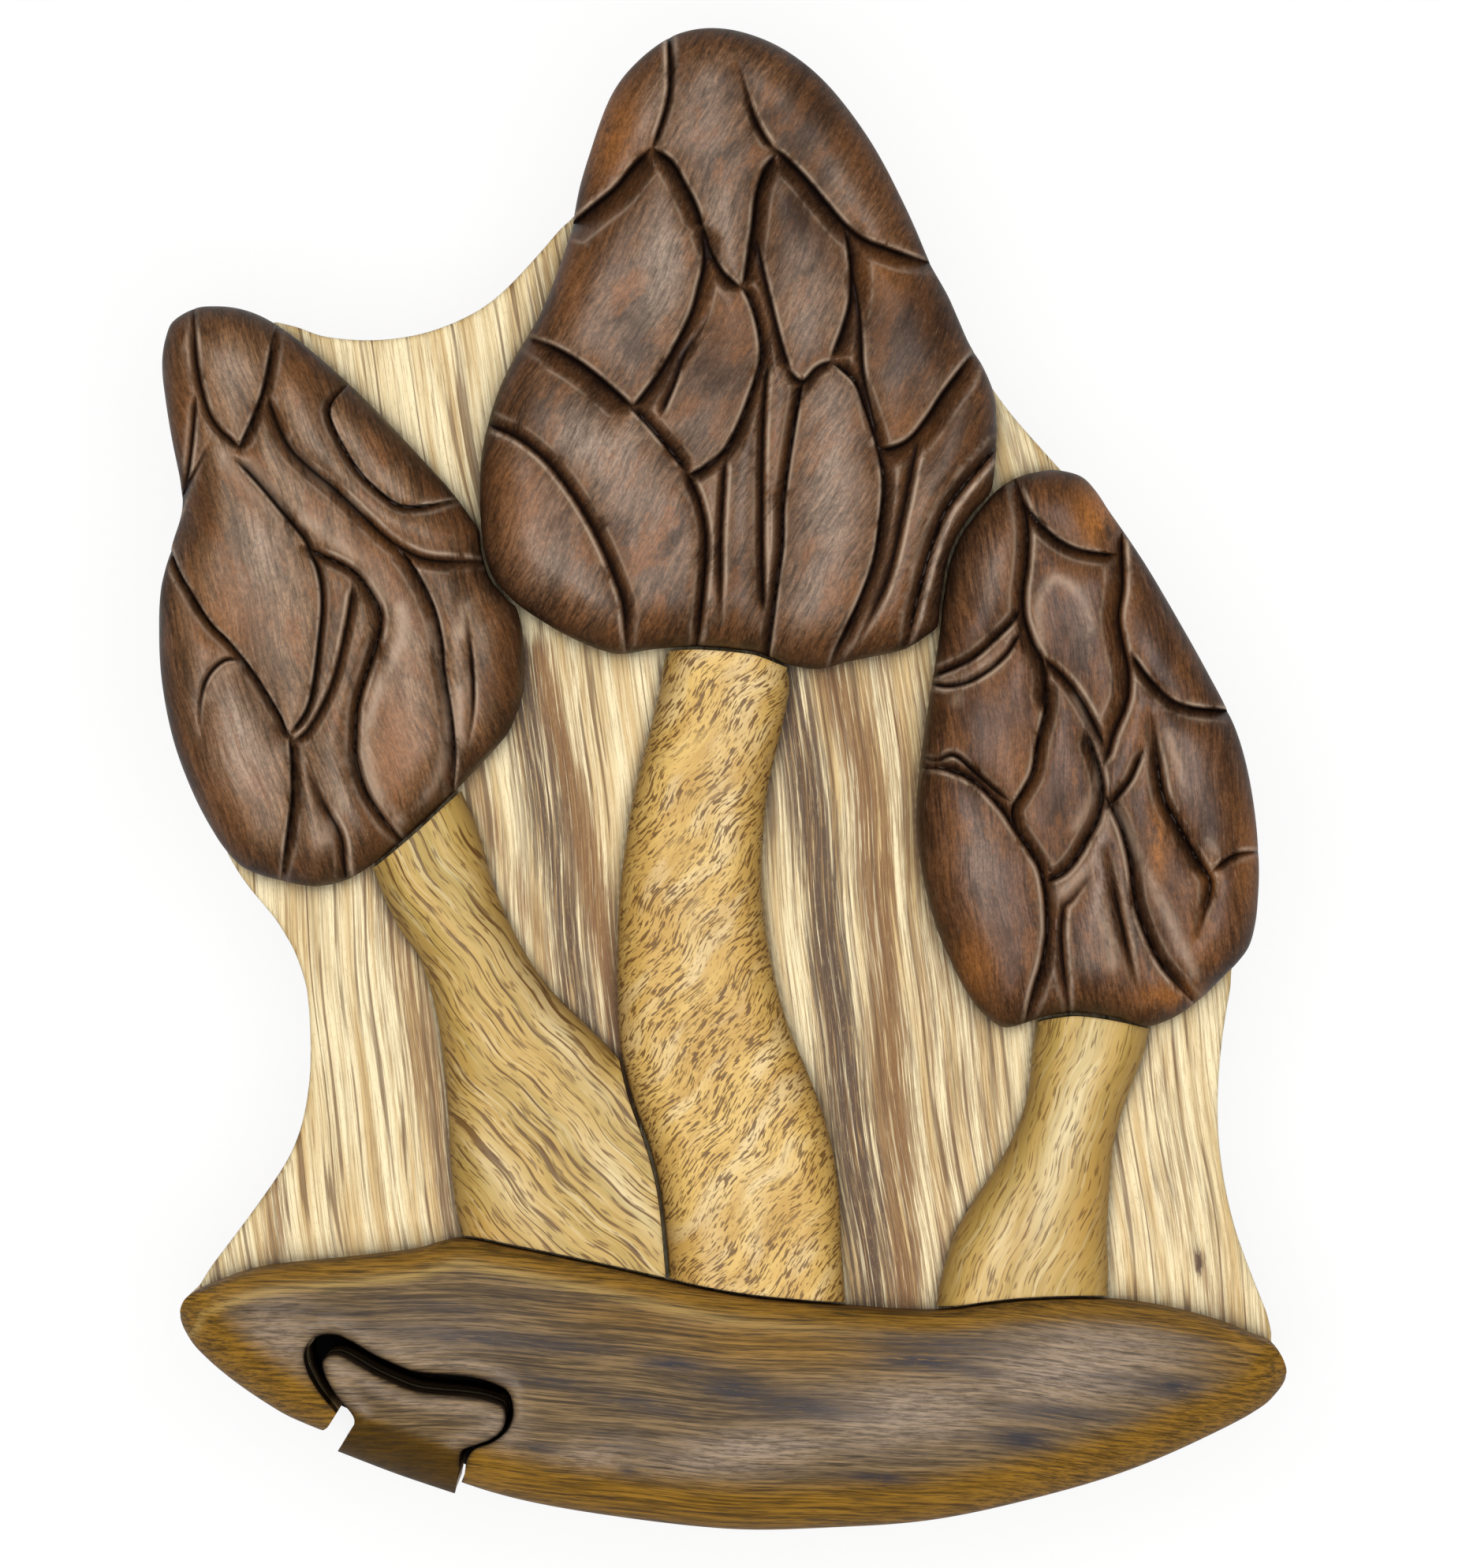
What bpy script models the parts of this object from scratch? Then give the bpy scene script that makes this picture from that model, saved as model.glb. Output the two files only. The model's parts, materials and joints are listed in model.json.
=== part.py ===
"""A wooden puzzle box whose face is an inlaid relief of three morel mushrooms on a mound.

The box lies on its flat back: +Z comes out of the face, +Y runs to the tip of the centre cap
and the origin is under the middle of the outline. Three stacked boards, the back, the wall and
the lid panel, are sawn to one outline, and the picture's pieces are glued to the lid panel.
A jigsaw key is sawn out of all of them and lifts straight out, and then the lid comes off.
"""

import bmesh
import bpy
import numpy as np
from mathutils import Vector
from mathutils.geometry import delaunay_2d_cdt

# Overall size of the outline
BOX_WIDTH = 0.1052
BOX_LENGTH = 0.140

# Boards, from the back up
BACK_THICKNESS = 0.004
WALL_DEPTH = 0.018
PANEL_THICKNESS = 0.006
GLUE_LINE = 0.0001
LID_SEAM = 0.0003
LINING_THICKNESS = 0.0008
LINING_CLEARANCE = 0.0004

# Height of each piece of the picture over its glue line
CENTER_CAP_RISE = 0.0115
LEFT_CAP_RISE = 0.0100
RIGHT_CAP_RISE = 0.0106
CENTER_STEM_RISE = 0.0066
LEFT_STEM_RISE = 0.0058
RIGHT_STEM_RISE = 0.0060
MOUND_RISE = 0.0096

# Rounding of the caps: how far it falls at the rim, and how far in it starts
CAP_RIM_DROP = 0.0046
CAP_RIM_WIDTH = 0.0050
CAP_GROOVE_DEPTH = 0.0018
CAP_GROOVE_WIDTH = 0.0019

# Rounding of the stems and of the mound
STEM_SIDE_DROP = 0.0037
STEM_SIDE_WIDTH = 0.0048
MOUND_FRONT_DROP = 0.0068
MOUND_FRONT_WIDTH = 0.0056
MOUND_BACK_DROP = 0.0024
MOUND_BACK_WIDTH = 0.0026
ARRIS_DROP = 0.0004
ARRIS_WIDTH = 0.0007

# Gaps between pieces side by side
JOINT_GAP = 0.00035
KEY_KERF = 0.0012

# How far the key rests from the middle of its slot, to the right and down, in widths of the kerf
KEY_REST_SHARES = (0.42, -0.58)

# Magnets and their drilled seats
LID_MAGNET_RADIUS = 0.003
LID_MAGNET_THICKNESS = 0.002
KEY_MAGNET_RADIUS = 0.00125
KEY_MAGNET_THICKNESS = 0.0018
MAGNET_CLEARANCE = 0.0002
MAGNET_SIDES = 24
CUT_OVERRUN = 0.001

# Fineness of the sawn and the carved shapes
SAW_STEP = 0.0022
GROOVE_STEP = 0.0022
CARVING_STEP = 0.0022
CARVING_GRID_SHARE = 0.3
RIM_RING_SHARES = (0.12, 0.40)
GROOVE_BED_SHARE = 0.45
OFFSET_SHARE = 0.9
SLIVER = 0.0000001
SMOOTH_ANGLE = np.radians(35)

# Outlines: (share of the width, share of the length) from the lower left corner, going round
CENTER_CAP_SHARES = (
    (0.369, 0.879), (0.373, 0.894), (0.383, 0.919), (0.399, 0.952), (0.418, 0.973),
    (0.453, 0.994), (0.488, 1.000), (0.523, 0.996), (0.558, 0.984), (0.593, 0.962),
    (0.632, 0.923), (0.664, 0.877), (0.685, 0.841), (0.699, 0.822), (0.718, 0.790),
    (0.730, 0.775), (0.740, 0.756), (0.742, 0.721), (0.737, 0.692), (0.723, 0.658),
    (0.706, 0.624), (0.688, 0.600), (0.664, 0.588), (0.612, 0.579), (0.584, 0.574),
    (0.558, 0.577), (0.530, 0.585), (0.475, 0.589), (0.437, 0.587), (0.407, 0.584),
    (0.373, 0.592), (0.341, 0.605), (0.313, 0.620), (0.296, 0.635), (0.287, 0.659),
    (0.285, 0.705), (0.290, 0.731), (0.301, 0.758), (0.316, 0.782), (0.337, 0.808),
    (0.354, 0.839), (0.366, 0.866),
)
LEFT_CAP_SHARES = (
    (0.032, 0.814), (0.069, 0.814), (0.102, 0.804), (0.153, 0.774), (0.195, 0.744),
    (0.230, 0.716), (0.261, 0.690), (0.287, 0.661), (0.306, 0.632), (0.320, 0.605),
    (0.323, 0.579), (0.321, 0.555), (0.310, 0.533), (0.275, 0.503), (0.235, 0.473),
    (0.191, 0.445), (0.165, 0.433), (0.141, 0.429), (0.107, 0.433), (0.072, 0.443),
    (0.046, 0.468), (0.025, 0.500), (0.011, 0.531), (0.002, 0.568), (0.000, 0.600),
    (0.002, 0.629), (0.012, 0.658), (0.020, 0.679), (0.019, 0.697), (0.012, 0.724),
    (0.005, 0.757), (0.003, 0.782), (0.012, 0.805),
)
RIGHT_CAP_SHARES = (
    (0.760, 0.701), (0.788, 0.706), (0.819, 0.701), (0.841, 0.680), (0.872, 0.646),
    (0.902, 0.608), (0.931, 0.569), (0.953, 0.536), (0.966, 0.502), (0.974, 0.457),
    (0.974, 0.421), (0.966, 0.389), (0.942, 0.368), (0.911, 0.347), (0.876, 0.336),
    (0.846, 0.342), (0.815, 0.345), (0.783, 0.342), (0.749, 0.335), (0.723, 0.351),
    (0.703, 0.378), (0.690, 0.401), (0.679, 0.431), (0.672, 0.469), (0.674, 0.502),
    (0.681, 0.541), (0.688, 0.574), (0.693, 0.600), (0.697, 0.624), (0.702, 0.645),
    (0.711, 0.662), (0.727, 0.679), (0.742, 0.692),
)
PANEL_SHARES = (
    (0.060, 0.795), (0.102, 0.806), (0.142, 0.797), (0.188, 0.794), (0.235, 0.799),
    (0.280, 0.813), (0.309, 0.830), (0.341, 0.856), (0.369, 0.879), (0.411, 0.901),
    (0.664, 0.822), (0.699, 0.808), (0.718, 0.790), (0.736, 0.766), (0.756, 0.745),
    (0.779, 0.725), (0.801, 0.706), (0.825, 0.679), (0.909, 0.547), (0.952, 0.426),
    (0.954, 0.377), (0.945, 0.330), (0.941, 0.297), (0.941, 0.263), (0.947, 0.228),
    (0.957, 0.197), (0.970, 0.170), (0.988, 0.130), (0.980, 0.101), (0.769, 0.072),
    (0.348, 0.072), (0.067, 0.125), (0.036, 0.144), (0.032, 0.160), (0.043, 0.173),
    (0.070, 0.200), (0.096, 0.227), (0.115, 0.250), (0.126, 0.273), (0.132, 0.303),
    (0.132, 0.337), (0.128, 0.364), (0.119, 0.384), (0.101, 0.407), (0.079, 0.427),
    (0.060, 0.449), (0.049, 0.473), (0.032, 0.574), (0.040, 0.695), (0.040, 0.769),
)
CENTER_STEM_SHARES = (
    (0.464, 0.600), (0.527, 0.600), (0.556, 0.578), (0.559, 0.563), (0.551, 0.531),
    (0.540, 0.495), (0.536, 0.463), (0.534, 0.431), (0.538, 0.400), (0.547, 0.365),
    (0.558, 0.336), (0.572, 0.310), (0.586, 0.283), (0.596, 0.257), (0.602, 0.231),
    (0.605, 0.188), (0.602, 0.136), (0.523, 0.120), (0.460, 0.130), (0.452, 0.173),
    (0.449, 0.199), (0.444, 0.228), (0.434, 0.257), (0.421, 0.284), (0.412, 0.310),
    (0.407, 0.336), (0.406, 0.378), (0.408, 0.421), (0.413, 0.455), (0.421, 0.492),
    (0.432, 0.524), (0.443, 0.558), (0.449, 0.582),
)
LEFT_STEM_SHARES = (
    (0.246, 0.508), (0.267, 0.492), (0.284, 0.461), (0.294, 0.434), (0.306, 0.411),
    (0.324, 0.384), (0.346, 0.360), (0.377, 0.337), (0.411, 0.310), (0.442, 0.273),
    (0.461, 0.220), (0.468, 0.157), (0.453, 0.136), (0.362, 0.146), (0.281, 0.167),
    (0.269, 0.193), (0.263, 0.213), (0.258, 0.243), (0.256, 0.277), (0.252, 0.310),
    (0.247, 0.337), (0.239, 0.363), (0.230, 0.381), (0.212, 0.401), (0.199, 0.421),
    (0.188, 0.442), (0.186, 0.468), (0.211, 0.495),
)
RIGHT_STEM_SHARES = (
    (0.801, 0.363), (0.857, 0.363), (0.879, 0.337), (0.874, 0.318), (0.863, 0.297),
    (0.853, 0.275), (0.846, 0.252), (0.843, 0.225), (0.841, 0.194), (0.843, 0.157),
    (0.839, 0.125), (0.762, 0.117), (0.695, 0.125), (0.690, 0.149), (0.696, 0.173),
    (0.707, 0.198), (0.727, 0.223), (0.749, 0.248), (0.766, 0.276), (0.773, 0.299),
    (0.775, 0.320), (0.780, 0.340),
)
MOUND_BACK_SHARES = (
    (0.022, 0.153), (0.032, 0.159), (0.060, 0.168), (0.091, 0.175), (0.164, 0.181),
    (0.229, 0.187), (0.265, 0.194), (0.306, 0.189), (0.390, 0.176), (0.507, 0.157),
    (0.596, 0.150), (0.685, 0.146), (0.756, 0.152), (0.819, 0.154), (0.863, 0.152),
    (0.907, 0.146), (0.952, 0.136), (0.988, 0.124),
)
MOUND_FRONT_SHARES = (
    (0.988, 0.124), (1.000, 0.103), (0.987, 0.087), (0.952, 0.070), (0.863, 0.040),
    (0.774, 0.020), (0.685, 0.006), (0.596, 0.001), (0.507, 0.000), (0.390, 0.010),
    (0.307, 0.022), (0.235, 0.040), (0.145, 0.066), (0.112, 0.076), (0.060, 0.102),
    (0.028, 0.125), (0.018, 0.141), (0.022, 0.153),
)

# The key as it is sawn, in the middle of its slot: the lobes, then the outer edge
KEY_LOBE_SHARES = (
    (0.257, 0.029), (0.262, 0.049), (0.264, 0.059), (0.276, 0.063), (0.290, 0.067),
    (0.300, 0.073), (0.303, 0.080), (0.301, 0.088), (0.290, 0.092), (0.273, 0.095),
    (0.244, 0.097), (0.223, 0.099), (0.202, 0.105), (0.185, 0.111), (0.167, 0.119),
    (0.155, 0.123), (0.145, 0.122), (0.141, 0.118), (0.143, 0.110), (0.150, 0.100),
    (0.160, 0.090), (0.168, 0.082), (0.169, 0.077), (0.153, 0.057),
)
KEY_EDGE_SHARES = ((0.153, 0.057), (0.205, 0.042), (0.257, 0.029))

# The compartment in the wall, which keeps about nine millimetres of wood round it
COMPARTMENT_SHARES = (
    (0.509, 0.909), (0.565, 0.869), (0.614, 0.811), (0.643, 0.748), (0.685, 0.684),
    (0.769, 0.621), (0.839, 0.558), (0.874, 0.494), (0.878, 0.442), (0.860, 0.363),
    (0.853, 0.283), (0.839, 0.215), (0.769, 0.130), (0.664, 0.083), (0.523, 0.072),
    (0.439, 0.096), (0.376, 0.141), (0.305, 0.173), (0.235, 0.199), (0.211, 0.252),
    (0.221, 0.320), (0.204, 0.389), (0.158, 0.458), (0.116, 0.516), (0.105, 0.579),
    (0.105, 0.653), (0.116, 0.711), (0.186, 0.727), (0.277, 0.742), (0.362, 0.774),
    (0.418, 0.822), (0.453, 0.880),
)

# Where the lid's magnets sit, in the wall round the compartment
LID_MAGNET_SHARES = ((0.492, 0.954), (0.895, 0.101), (0.049, 0.600))
KEY_MAGNET_HEIGHT_SHARE = 0.5

# The lines carved between the scales of each cap
CENTER_CAP_GROOVE_SHARES = (
    ((0.369, 0.872), (0.405, 0.894), (0.437, 0.919), (0.448, 0.942), (0.453, 0.968)),
    ((0.437, 0.919), (0.466, 0.897), (0.483, 0.863), (0.478, 0.827), (0.456, 0.786),
     (0.421, 0.747)),
    ((0.483, 0.863), (0.501, 0.836), (0.517, 0.828)),
    ((0.518, 0.964), (0.527, 0.942), (0.548, 0.917), (0.590, 0.884), (0.625, 0.859),
     (0.685, 0.843)),
    ((0.548, 0.917), (0.529, 0.889), (0.522, 0.849), (0.517, 0.828)),
    ((0.517, 0.828), (0.529, 0.805), (0.533, 0.779), (0.513, 0.736), (0.482, 0.707),
     (0.469, 0.703)),
    ((0.610, 0.865), (0.612, 0.820), (0.597, 0.778)),
    ((0.329, 0.794), (0.373, 0.778), (0.421, 0.747), (0.453, 0.719), (0.478, 0.688),
     (0.485, 0.653), (0.478, 0.590)),
    ((0.292, 0.735), (0.341, 0.714), (0.373, 0.683), (0.402, 0.640), (0.415, 0.586)),
    ((0.551, 0.790), (0.558, 0.772), (0.572, 0.766), (0.597, 0.778)),
    ((0.572, 0.766), (0.562, 0.729), (0.553, 0.681), (0.548, 0.633), (0.541, 0.584)),
    ((0.597, 0.778), (0.625, 0.748), (0.640, 0.709), (0.638, 0.671), (0.624, 0.625),
     (0.597, 0.579)),
    ((0.721, 0.785), (0.692, 0.755), (0.664, 0.726), (0.635, 0.722)),
    ((0.737, 0.717), (0.699, 0.681), (0.680, 0.642), (0.664, 0.592)),
    ((0.533, 0.779), (0.533, 0.729), (0.534, 0.681), (0.533, 0.633)),
)
LEFT_CAP_GROOVE_SHARES = (
    ((0.032, 0.804), (0.035, 0.774), (0.046, 0.744), (0.072, 0.720)),
    ((0.104, 0.799), (0.096, 0.769), (0.084, 0.741), (0.072, 0.720)),
    ((0.020, 0.686), (0.029, 0.702), (0.046, 0.722), (0.088, 0.695), (0.118, 0.667),
     (0.139, 0.646), (0.145, 0.614), (0.139, 0.579), (0.118, 0.530)),
    ((0.139, 0.646), (0.165, 0.642), (0.197, 0.609), (0.186, 0.575), (0.174, 0.533),
     (0.181, 0.500), (0.212, 0.463)),
    ((0.093, 0.748), (0.116, 0.718), (0.163, 0.690), (0.200, 0.663), (0.235, 0.647),
     (0.286, 0.647)),
    ((0.165, 0.760), (0.154, 0.742), (0.177, 0.706), (0.207, 0.685), (0.258, 0.687)),
    ((0.012, 0.647), (0.037, 0.616), (0.074, 0.583), (0.100, 0.554), (0.118, 0.530)),
    ((0.077, 0.580), (0.053, 0.575), (0.037, 0.547)),
    ((0.118, 0.530), (0.119, 0.494), (0.109, 0.436)),
    ((0.200, 0.663), (0.237, 0.621), (0.251, 0.588), (0.260, 0.533), (0.260, 0.496)),
)
RIGHT_CAP_GROOVE_SHARES = (
    ((0.758, 0.699), (0.768, 0.674), (0.768, 0.642), (0.766, 0.608), (0.782, 0.580),
     (0.786, 0.559), (0.778, 0.526), (0.756, 0.480), (0.760, 0.465)),
    ((0.768, 0.679), (0.797, 0.660), (0.830, 0.652), (0.855, 0.647), (0.850, 0.608),
     (0.858, 0.574), (0.846, 0.531), (0.836, 0.513)),
    ((0.764, 0.611), (0.742, 0.592), (0.720, 0.575), (0.690, 0.567)),
    ((0.786, 0.579), (0.815, 0.556), (0.836, 0.525)),
    ((0.854, 0.605), (0.871, 0.573), (0.898, 0.553), (0.938, 0.547)),
    ((0.876, 0.567), (0.886, 0.531), (0.890, 0.489), (0.911, 0.455), (0.933, 0.433),
     (0.918, 0.396)),
    ((0.678, 0.508), (0.707, 0.505), (0.735, 0.490), (0.760, 0.465), (0.784, 0.429),
     (0.786, 0.396), (0.768, 0.339)),
    ((0.823, 0.530), (0.836, 0.493), (0.821, 0.459), (0.784, 0.433)),
    ((0.869, 0.518), (0.841, 0.482), (0.856, 0.455), (0.865, 0.420), (0.881, 0.386),
     (0.918, 0.357)),
)

# Heights of the boards' faces
WALL_BOTTOM = BACK_THICKNESS + GLUE_LINE
WALL_TOP = WALL_BOTTOM + WALL_DEPTH
PANEL_BOTTOM = WALL_TOP + LID_SEAM
PANEL_TOP = PANEL_BOTTOM + PANEL_THICKNESS
PICTURE_BOTTOM = PANEL_TOP + GLUE_LINE

# Colour, roughness and metallic value of each finish
WOODS = {
    "dark_walnut": ((0.105, 0.055, 0.036), 0.38, 0.0),
    "red_walnut": ((0.170, 0.085, 0.045), 0.38, 0.0),
    "plum_walnut": ((0.115, 0.055, 0.040), 0.38, 0.0),
    "streaked_cream": ((0.760, 0.590, 0.350), 0.42, 0.0),
    "wavy_gold": ((0.680, 0.430, 0.160), 0.40, 0.0),
    "olive_gold": ((0.600, 0.400, 0.140), 0.40, 0.0),
    "mound_olive": ((0.200, 0.130, 0.060), 0.38, 0.0),
    "case_brown": ((0.420, 0.250, 0.110), 0.45, 0.0),
    "back_tan": ((0.520, 0.340, 0.170), 0.50, 0.0),
    "black_felt": ((0.020, 0.018, 0.018), 0.95, 0.0),
    "nickel": ((0.700, 0.690, 0.660), 0.25, 1.0),
}


def face_point(share):
    """The place on the face, in metres, of a pair of shares."""
    across, along = share
    return ((across - 1 / 2) * BOX_WIDTH, (along - 1 / 2) * BOX_LENGTH)


def smooth(shares, spacing, closed):
    """Points about a spacing apart on the smooth curve through the shares."""
    knots = np.array([face_point(share) for share in shares])
    if closed:
        knots = np.vstack([knots[-1:], knots, knots[:2]])
    else:
        knots = np.vstack([2 * knots[:1] - knots[1:2], knots, 2 * knots[-1:] - knots[-2:-1]])
    spans = np.linalg.norm(np.diff(knots, axis=0), axis=1)
    points = []
    for index in range(1, len(knots) - 2):
        start, end, span = knots[index], knots[index + 1], spans[index]
        leaving = (end - knots[index - 1]) * span / (spans[index - 1] + span)
        arriving = (knots[index + 2] - start) * span / (span + spans[index + 1])
        steps = max(1, round(span / spacing))
        for t in np.arange(steps) / steps:
            points.append(
                (2 * t**3 - 3 * t**2 + 1) * start
                + (t**3 - 2 * t**2 + t) * leaving
                + (3 * t**2 - 2 * t**3) * end
                + (t**3 - t**2) * arriving
            )
    if not closed:
        points.append(knots[-2])
    return np.array(points)


def distance_to(points, line, closed=False):
    """Each point's distance to the nearest stretch of the line."""
    starts = line if closed else line[:-1]
    ends = np.roll(line, -1, axis=0) if closed else line[1:]
    steps = ends - starts
    reach = points[:, None] - starts[None]
    shares = np.clip((reach * steps).sum(axis=2) / (steps**2).sum(axis=1), 0, 1)
    return np.linalg.norm(reach - shares[..., None] * steps, axis=2).min(axis=1)


def inside(points, loop):
    """Whether each point lies inside the loop."""
    x, y = points[:, 0], points[:, 1]
    found = np.zeros(len(points), bool)
    for (x0, y0), (x1, y1) in zip(loop, np.roll(loop, -1, axis=0)):
        if y0 != y1:
            crosses = (y0 > y) != (y1 > y)
            found ^= crosses & (x < x0 + (y - y0) * (x1 - x0) / (y1 - y0))
    return found


def grown(loop, distance):
    """The loop pushed out by the distance, or drawn in where it is negative."""
    along = np.roll(loop, -1, axis=0) - np.roll(loop, 1, axis=0)
    normals = np.column_stack([along[:, 1], -along[:, 0]])
    normals /= np.linalg.norm(normals, axis=1)[:, None]
    x, y = loop[:, 0], loop[:, 1]
    if (x * np.roll(y, -1) - y * np.roll(x, -1)).sum() < 0:
        normals = -normals
    moved = loop + distance * normals
    return moved[distance_to(moved, loop, closed=True) > OFFSET_SHARE * abs(distance)]


def spread(places, worth, spacing):
    """The places of most worth that keep the spacing from each other."""
    waiting = places[np.argsort(-worth, kind="stable")]
    kept = []
    while len(waiting):
        kept.append(waiting[0])
        waiting = waiting[np.linalg.norm(waiting - waiting[0], axis=1) > spacing]
    return np.array(kept)


def sides_of(face):
    """The face's three directed sides, as pairs of corners."""
    return [(face[index], face[index - 2]) for index in range(3)]


def largest_patch(faces):
    """The triangles of the largest piece that hangs together, side to side."""
    across = {side: index for index, face in enumerate(faces) for side in sides_of(face)}
    waiting = set(range(len(faces)))
    largest = []
    while waiting:
        patch = [waiting.pop()]
        for index in patch:
            for start, end in sides_of(faces[index]):
                neighbour = across.get((end, start))
                if neighbour in waiting:
                    waiting.remove(neighbour)
                    patch.append(neighbour)
        largest = max(largest, patch, key=len)
    return faces[largest]


def fill(wanted, unwanted=(), lines=(), spots=()):
    """Triangles over the wanted loops and not the unwanted ones, with edges along the lines."""
    corners = []
    edges = []
    for loop in (*wanted, *unwanted):
        first = len(corners)
        corners.extend(loop)
        count = len(loop)
        edges.extend((first + index, first + (index + 1) % count) for index in range(count))
    for line in lines:
        first = len(corners)
        corners.extend(line)
        edges.extend((first + index, first + index + 1) for index in range(len(line) - 1))
    corners.extend(spots)
    corners = [Vector(corner) for corner in corners]
    found = delaunay_2d_cdt(corners, edges, [], 0, SLIVER)
    corners = np.array(found[0])
    faces = np.array(found[2])
    middles = corners[faces].mean(axis=1)
    kept = np.any([inside(middles, loop) for loop in wanted], axis=0)
    for loop in unwanted:
        kept &= ~inside(middles, loop)
    return corners, largest_patch(faces[kept])


def rim_of(corners, faces):
    """The outer edge of the triangles as one loop of points."""
    sides = {side for face in faces for side in sides_of(face)}
    after = {start: end for start, end in sides if (end, start) not in sides}
    loops = []
    while after:
        start, corner = after.popitem()
        loop = [start]
        while corner != start:
            loop.append(corner)
            corner = after.pop(corner)
        loops.append(loop)
    return corners[max(loops, key=len)]


def rounded(points, rim, width, drop, closed=True):
    """How far a quarter-round of this width and drop lowers each point near the rim."""
    nearness = 1 - np.clip(distance_to(points, rim, closed) / width, 0, 1)
    return drop * (1 - np.sqrt(1 - nearness**2))


def finish(name, colour, roughness, metallic):
    material = bpy.data.materials.new(name)
    material.use_nodes = True
    shader = material.node_tree.nodes["Principled BSDF"]
    shader.inputs["Base Color"].default_value = (*colour, 1.0)
    shader.inputs["Roughness"].default_value = roughness
    shader.inputs["Metallic"].default_value = metallic
    material.diffuse_color = (*colour, 1.0)
    return material


def place(piece, body, origin, wood):
    """Hangs the piece on its body's empty with its origin there, and gives it its finish."""
    parts.objects.link(piece)
    piece.parent = body
    piece.location = Vector(origin) - body.location
    piece.data.materials.append(finish(piece.name, *WOODS[wood]))
    return piece


def board(name, body, loops, bottom, thickness, wood):
    """A flat board sawn to the loops, the first one its outline and the others its holes."""
    drawing = bpy.data.curves.new(name, "CURVE")
    drawing.dimensions = "2D"
    drawing.fill_mode = "BOTH"
    drawing.extrude = thickness / 2
    for loop in loops:
        spline = drawing.splines.new("POLY")
        spline.points.add(len(loop) - 1)
        for point, (x, y) in zip(spline.points, loop):
            point.co = (x, y, 0, 1)
        spline.use_cyclic_u = True
    sawn = bpy.data.objects.new(name, drawing)
    scene.collection.objects.link(sawn)
    bpy.context.view_layer.update()
    graph = bpy.context.evaluated_depsgraph_get()
    mesh = bpy.data.meshes.new_from_object(sawn.evaluated_get(graph))
    bpy.data.objects.remove(sawn)
    shape = bmesh.new()
    shape.from_mesh(mesh)
    bmesh.ops.remove_doubles(shape, verts=shape.verts, dist=SLIVER)
    bmesh.ops.recalc_face_normals(shape, faces=shape.faces)
    shape.to_mesh(mesh)
    shape.free()
    mesh.materials.clear()
    middle = (0, 0, bottom + thickness / 2)
    return place(bpy.data.objects.new(name, mesh), body, middle, wood)


def carving(name, body, rim, height_of, wood, grooves=(), rings=()):
    """A block with the rim's outline, a flat underside and a top surface of the given height."""
    low, high = rim.min(axis=0), rim.max(axis=0)
    step = CARVING_STEP * CARVING_GRID_SHARE
    columns, rows = (np.arange(start, end, step) for start, end in zip(low, high))
    grid = np.array([(x, y) for y in rows for x in columns])
    grid = grid[inside(grid, rim)]
    grid = grid[distance_to(grid, rim, closed=True) > max(rings) + CARVING_STEP / 2]
    ridge = np.full(len(grid), CAP_GROOVE_WIDTH)
    for groove in grooves:
        ridge = np.minimum(ridge, distance_to(grid, groove))
    spots = np.vstack(
        [spread(grid, ridge, CARVING_STEP)] + [grown(rim, -ring) for ring in rings]
    )
    for groove in grooves:
        spots = spots[distance_to(spots, groove) > CAP_GROOVE_WIDTH * GROOVE_BED_SHARE]
    corners, faces = fill([rim], lines=grooves, spots=spots)
    heights = height_of(corners)
    shape = bmesh.new()
    verts = [shape.verts.new((x, y, z)) for (x, y), z in zip(corners, heights)]
    for face in faces:
        shape.faces.new([verts[corner] for corner in face])
    loose = [vert for vert in shape.verts if not vert.link_faces]
    bmesh.ops.delete(shape, geom=loose, context="VERTS")
    under = bmesh.ops.extrude_face_region(shape, geom=shape.faces[:])["geom"]
    for vert in (item for item in under if isinstance(item, bmesh.types.BMVert)):
        vert.co.z = 0
    flat = [item for item in under if isinstance(item, bmesh.types.BMFace)]
    flat = bmesh.ops.dissolve_faces(shape, faces=flat)["region"]
    bmesh.ops.triangulate(shape, faces=flat)
    bmesh.ops.recalc_face_normals(shape, faces=shape.faces)
    mesh = bpy.data.meshes.new(name)
    shape.to_mesh(mesh)
    shape.free()
    mesh.shade_smooth()
    mesh.set_sharp_from_angle(angle=SMOOTH_ANGLE)
    return place(bpy.data.objects.new(name, mesh), body, (0, 0, PICTURE_BOTTOM), wood)


def round_bar(name, radius, depth, middle, axis):
    """A short round bar along Z, or along X, about its middle."""
    bpy.ops.mesh.primitive_cylinder_add(vertices=MAGNET_SIDES, radius=radius, depth=depth)
    bar = bpy.context.object
    bar.name = name
    for owner in bar.users_collection:
        owner.objects.unlink(bar)
    bar.location = middle
    if axis == "X":
        bar.rotation_euler.y = np.pi / 2
    return bar


def magnet(name, body, radius, thickness, middle, axis="Z"):
    """A disc magnet at its middle, shaded round."""
    disc = round_bar(name, radius, thickness, middle, axis)
    disc.data.shade_smooth()
    disc.data.set_sharp_from_angle(angle=SMOOTH_ANGLE)
    place(disc, body, middle, "nickel")


def drill(piece, name, radius, middle, depth, axis="Z"):
    """A drilled seat in the piece: the cutter is centred on the middle and the depth long."""
    cutter = round_bar(name, radius, depth, middle, axis)
    cutters.objects.link(cutter)
    cutter.hide_render = True
    cutter.display_type = "WIRE"
    cut = piece.modifiers.new(name, "BOOLEAN")
    cut.operation = "DIFFERENCE"
    cut.solver = "EXACT"
    cut.object = cutter


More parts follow.
